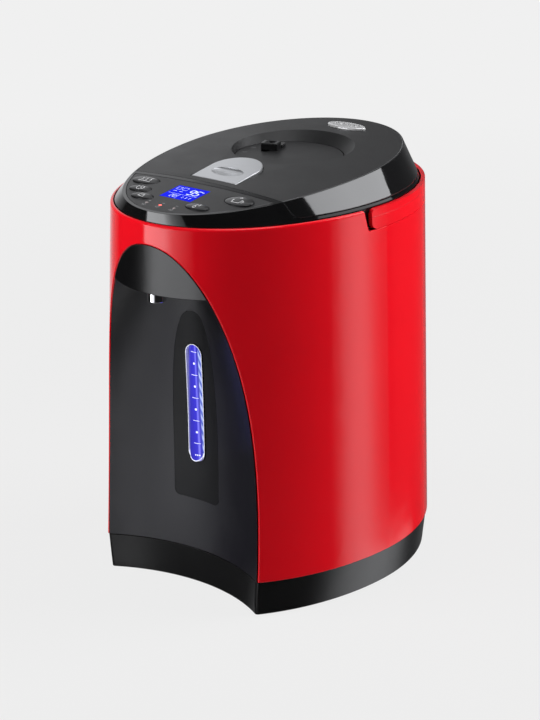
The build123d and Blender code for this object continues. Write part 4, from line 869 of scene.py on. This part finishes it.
def make_world():
    """Pale backdrop for the camera and for reflections, and a low even light for everything else."""
    world = bpy.data.worlds.new("studio")
    bpy.context.scene.world = world
    world.use_nodes = True
    tree = world.node_tree
    tree.nodes.clear()
    path = tree.nodes.new("ShaderNodeLightPath")
    seen = path.outputs["Is Camera Ray"]
    for name in ("Is Glossy Ray", "Is Transmission Ray"):
        either = tree.nodes.new("ShaderNodeMath")
        either.operation = "MAXIMUM"
        tree.links.new(seen, either.inputs[0])
        tree.links.new(path.outputs[name], either.inputs[1])
        seen = either.outputs[0]
    mix = tree.nodes.new("ShaderNodeMixShader")
    tree.links.new(seen, mix.inputs[0])
    for index, value in enumerate((FILL, SKY)):
        shade = tree.nodes.new("ShaderNodeBackground")
        shade.inputs["Color"].default_value = (value, value, value, 1.0)
        tree.links.new(shade.outputs[0], mix.inputs[index + 1])
    out = tree.nodes.new("ShaderNodeOutputWorld")
    tree.links.new(mix.outputs[0], out.inputs["Surface"])


def staged(name, mesh, material):
    """Piece of the studio, which is no part of the pot."""
    data = bpy.data.meshes.new(name)
    mesh.to_mesh(data)
    mesh.free()
    data.materials.append(material)
    thing = bpy.data.objects.new(name, data)
    bpy.context.scene.collection.objects.link(thing)
    return thing


def make_floor():
    """Pale sweep: lit paper that also shows the backdrop's own brightness to the camera and in reflections."""
    n = Nodes("pale_floor")
    paper = n.add("ShaderNodeBsdfDiffuse")
    n.put(paper.inputs["Color"], drifting(n, n.noise(300.0, detail=3.0), (PAPER,) * 3, 0.98, 1.02))
    glow = n.add("ShaderNodeEmission")
    n.put(glow.inputs["Color"], (FLOOR_GLOW,) * 3)
    path = n.add("ShaderNodeLightPath")
    seen = n.math("MAXIMUM", path.outputs["Is Camera Ray"], path.outputs["Is Glossy Ray"])
    seen = n.math("MAXIMUM", seen, path.outputs["Is Transmission Ray"])
    away = n.add("ShaderNodeVectorMath", operation="LENGTH")
    n.link(n.where, away.inputs[0])
    share = n.spread(away.outputs["Value"], 1.0 - PAPER_SHARE, 1.0, *PAPER_REACH)
    mix = n.add("ShaderNodeMixShader")
    n.put(mix.inputs[0], n.math("MULTIPLY", seen, share))
    n.link(paper.outputs[0], mix.inputs[1])
    n.link(glow.outputs[0], mix.inputs[2])
    n.link(mix.outputs[0], n.out.inputs["Surface"])
    mesh = bmesh.new()
    mesh.faces.new([mesh.verts.new((x * FLOOR_HALF, y * FLOOR_HALF, 0.0))
                    for x, y in ((-1, -1), (1, -1), (1, 1), (-1, 1))])
    staged("floor", mesh, n.material).visible_glossy = False


def compass(azimuth, radius, height):
    """Point at an azimuth (0 in front, 90 on the right) round the pot."""
    return Vector((sin(radians(azimuth)) * radius, -cos(radians(azimuth)) * radius, height))


AIM = Vector((0.0, 0.0, 0.18))      # the lamps look at the pot's middle


def lamp(name, azimuth, elevation, distance, size, level):
    """Square soft box that no reflection shows.

    Its level is the light it gives a surface that faces it, where 1 shows a colour as written.
    """
    data = bpy.data.lights.new(name, "AREA")
    data.size = size
    data.energy = level * (pi * distance) ** 2
    light = bpy.data.objects.new(name, data)
    bpy.context.scene.collection.objects.link(light)
    angle = radians(elevation)
    light.location = compass(azimuth, distance * cos(angle), AIM.z + distance * sin(angle))
    light.rotation_euler = (light.location - AIM).to_track_quat("Z", "Y").to_euler()
    light.visible_glossy = False


def curved_card(name, start, end, profile, material, count):
    """Card bent round the pot that only reflections show; its profile is a row of (radius, height)."""
    mesh = bmesh.new()
    columns = []
    for index in range(count + 1):
        azimuth = start + (end - start) * index / count
        columns.append([mesh.verts.new(compass(azimuth, radius, z)) for radius, z in profile])
    for first, second in zip(columns, columns[1:]):
        for k in range(len(profile) - 1):
            mesh.faces.new([first[k], second[k], second[k + 1], first[k + 1]])
    card = staged(name, mesh, material)
    card.visible_camera = False
    card.visible_diffuse = False
    card.visible_shadow = False
    card.visible_transmission = False


def cloth(name, grey):
    """Dark cloth of one even grey."""
    n = Nodes(name)
    skin = n.add("ShaderNodeEmission")
    n.put(skin.inputs["Color"], drifting(n, n.noise(40.0, detail=2.0), (grey,) * 3, 0.9, 1.1))
    n.link(skin.outputs[0], n.out.inputs["Surface"])
    return n.material


CARD_TINT = (0.965, 0.975, 1.0)     # daylight lamps are a little blue
CARD_GAIN = 1.03                    # makes up for the tint


def glowing_cloth(name, stops):
    """Light cloth whose brightness changes with azimuth: stops are (azimuth, level)."""
    n = Nodes(name)
    low, high = stops[0][0], stops[-1][0]
    top = max(level for _, level in stops)
    angle = n.math("ARCTAN2", n.axis("X"), n.math("MULTIPLY", n.axis("Y"), -1.0))
    if low < -180:                  # the stops run on past the back
        turn = n.math("MULTIPLY", n.math("GREATER_THAN", angle, 0.0), 2 * pi)
        angle = n.math("SUBTRACT", angle, turn)
    ramp = n.add("ShaderNodeValToRGB")
    n.link(n.spread(angle, 0.0, 1.0, radians(low), radians(high)), ramp.inputs[0])
    while len(ramp.color_ramp.elements) < len(stops):
        ramp.color_ramp.elements.new(0.5)
    for element, (azimuth, level) in zip(ramp.color_ramp.elements, stops):
        element.position = (azimuth - low) / (high - low)
        element.color = tuple(level / top * part for part in CARD_TINT) + (1.0,)
    skin = n.add("ShaderNodeEmission")
    n.link(ramp.outputs[0], skin.inputs["Color"])
    skin.inputs["Strength"].default_value = top * CARD_GAIN
    n.link(skin.outputs[0], n.out.inputs["Surface"])
    return n.material


# The cloths and cards stand far off, so that what a reflection shows depends on its direction only.
FAR = 3.0
WALL = [(FAR, -4.0), (FAR, 2.5), (1.6, 4.4), (0.01, 4.9)]
CEILING = [(1.15, 3.3), (0.01, 3.5)]
CARD_R = FAR * 0.93
EYE_Z = 0.2                         # height that the cards' elevations are measured from
LEANING_FROM = 20.0                 # cards above this elevation lean in, as on a globe


def at_elevation(low, high):
    """Profile of a bent card between two elevations as seen from the pot."""
    profile = []
    for elevation in (low, (low + high) / 2, high):
        angle = radians(elevation)
        if elevation > LEANING_FROM:
            profile.append((CARD_R * cos(angle), EYE_Z + CARD_R * sin(angle)))
        else:
            profile.append((CARD_R, EYE_Z + CARD_R * tan(angle)))
    return profile


# name: profile, number of columns, and the stops, whose first and last azimuths are the card's ends
CARDS = {
    "patch_right": (at_elevation(-24, 12), 24, [
        (107.5, 0.16), (111, 0.42), (115, 1.15), (120, 1.5), (125, 1.5), (129, 1.13), (133, 0.6), (138, 0.22),
        (144, 0.08)]),
    "patch_left": (at_elevation(-17, 12), 24, [
        (-46, 0.05), (-44, 0.3), (-42.5, 3.9), (-30, 3.9), (-17, 3.7), (-12, 2.4), (-6, 1.3), (0, 0.8),
        (6, 0.5), (14, 0.1)]),
    "patch_low": (at_elevation(-36, -19), 24, [
        (-20, 0.05), (-12, 0.2), (-4, 0.8), (8, 1.5), (17, 1.3), (26, 0.5), (40, 0.02)]),
    "patch_right_low": (at_elevation(-50, -24), 16, [
        (107.5, 0.1), (115, 1.2), (122, 2.4), (142, 2.4), (155, 1.3), (168, 0.2)]),
    "card_low_back": (at_elevation(11, 26), 12, [(-142, 0.2), (-138, 0.8), (-120, 0.8), (-117, 0.3)]),
    "card_top": (CEILING, 24, [
        (-180, 2.6), (-130, 2.0), (-105, 0.3), (-30, 0.3), (30, 1.0), (90, 2.6), (180, 2.6)]),
    "card_back": (at_elevation(40, 56), 12, [(-168, 1.5), (-150, 0.8), (-128, 0.6)]),
    "box_right": (at_elevation(27.5, 55), 16, [(125, 3.5), (144, 3.7), (161, 3.2)]),
}
# azimuths where the black cloth in front meets the grey one, which closes the ring behind
CLOTH_LEFT, CLOTH_RIGHT = -92.0, 146.0
GREY_CLOTH = [(-214, 0.05), (-190, 0.04), (-178, 0.06), (-164, 0.14), (-149, 0.13), (-140, 0.28), (-133, 0.78),
              (-122, 0.66), (-108, 0.32), (-92, 0.06)]


def make_studio():
    """Backdrop, floor, two lamps, and the cloths and cards that reflections show."""
    make_world()
    make_floor()
    lamp("lamp_right", azimuth=135.0, elevation=30.0, distance=1.5, size=1.0, level=1.95)
    lamp("lamp_left", azimuth=-32.0, elevation=32.0, distance=1.5, size=0.9, level=1.35)
    curved_card("cloth_front", CLOTH_LEFT, CLOTH_RIGHT, WALL, cloth("black_cloth", 0.012), 48)
    grey = glowing_cloth("grey_cloth", GREY_CLOTH)
    curved_card("cloth_back", CLOTH_RIGHT, CLOTH_LEFT + 360.0, WALL, grey, 40)
    for name, (profile, columns, stops) in CARDS.items():
        curved_card(name, stops[0][0], stops[-1][0], profile, glowing_cloth(name, stops), columns)
    bpy.context.scene.view_settings.view_transform = "Standard"


make_camera()
dress_nodes()
make_display_marks()
make_gauge_marks()
make_button_icons()
make_panel_marks()
make_plate_marks()
make_bellows()
make_return_spring()
make_studio()
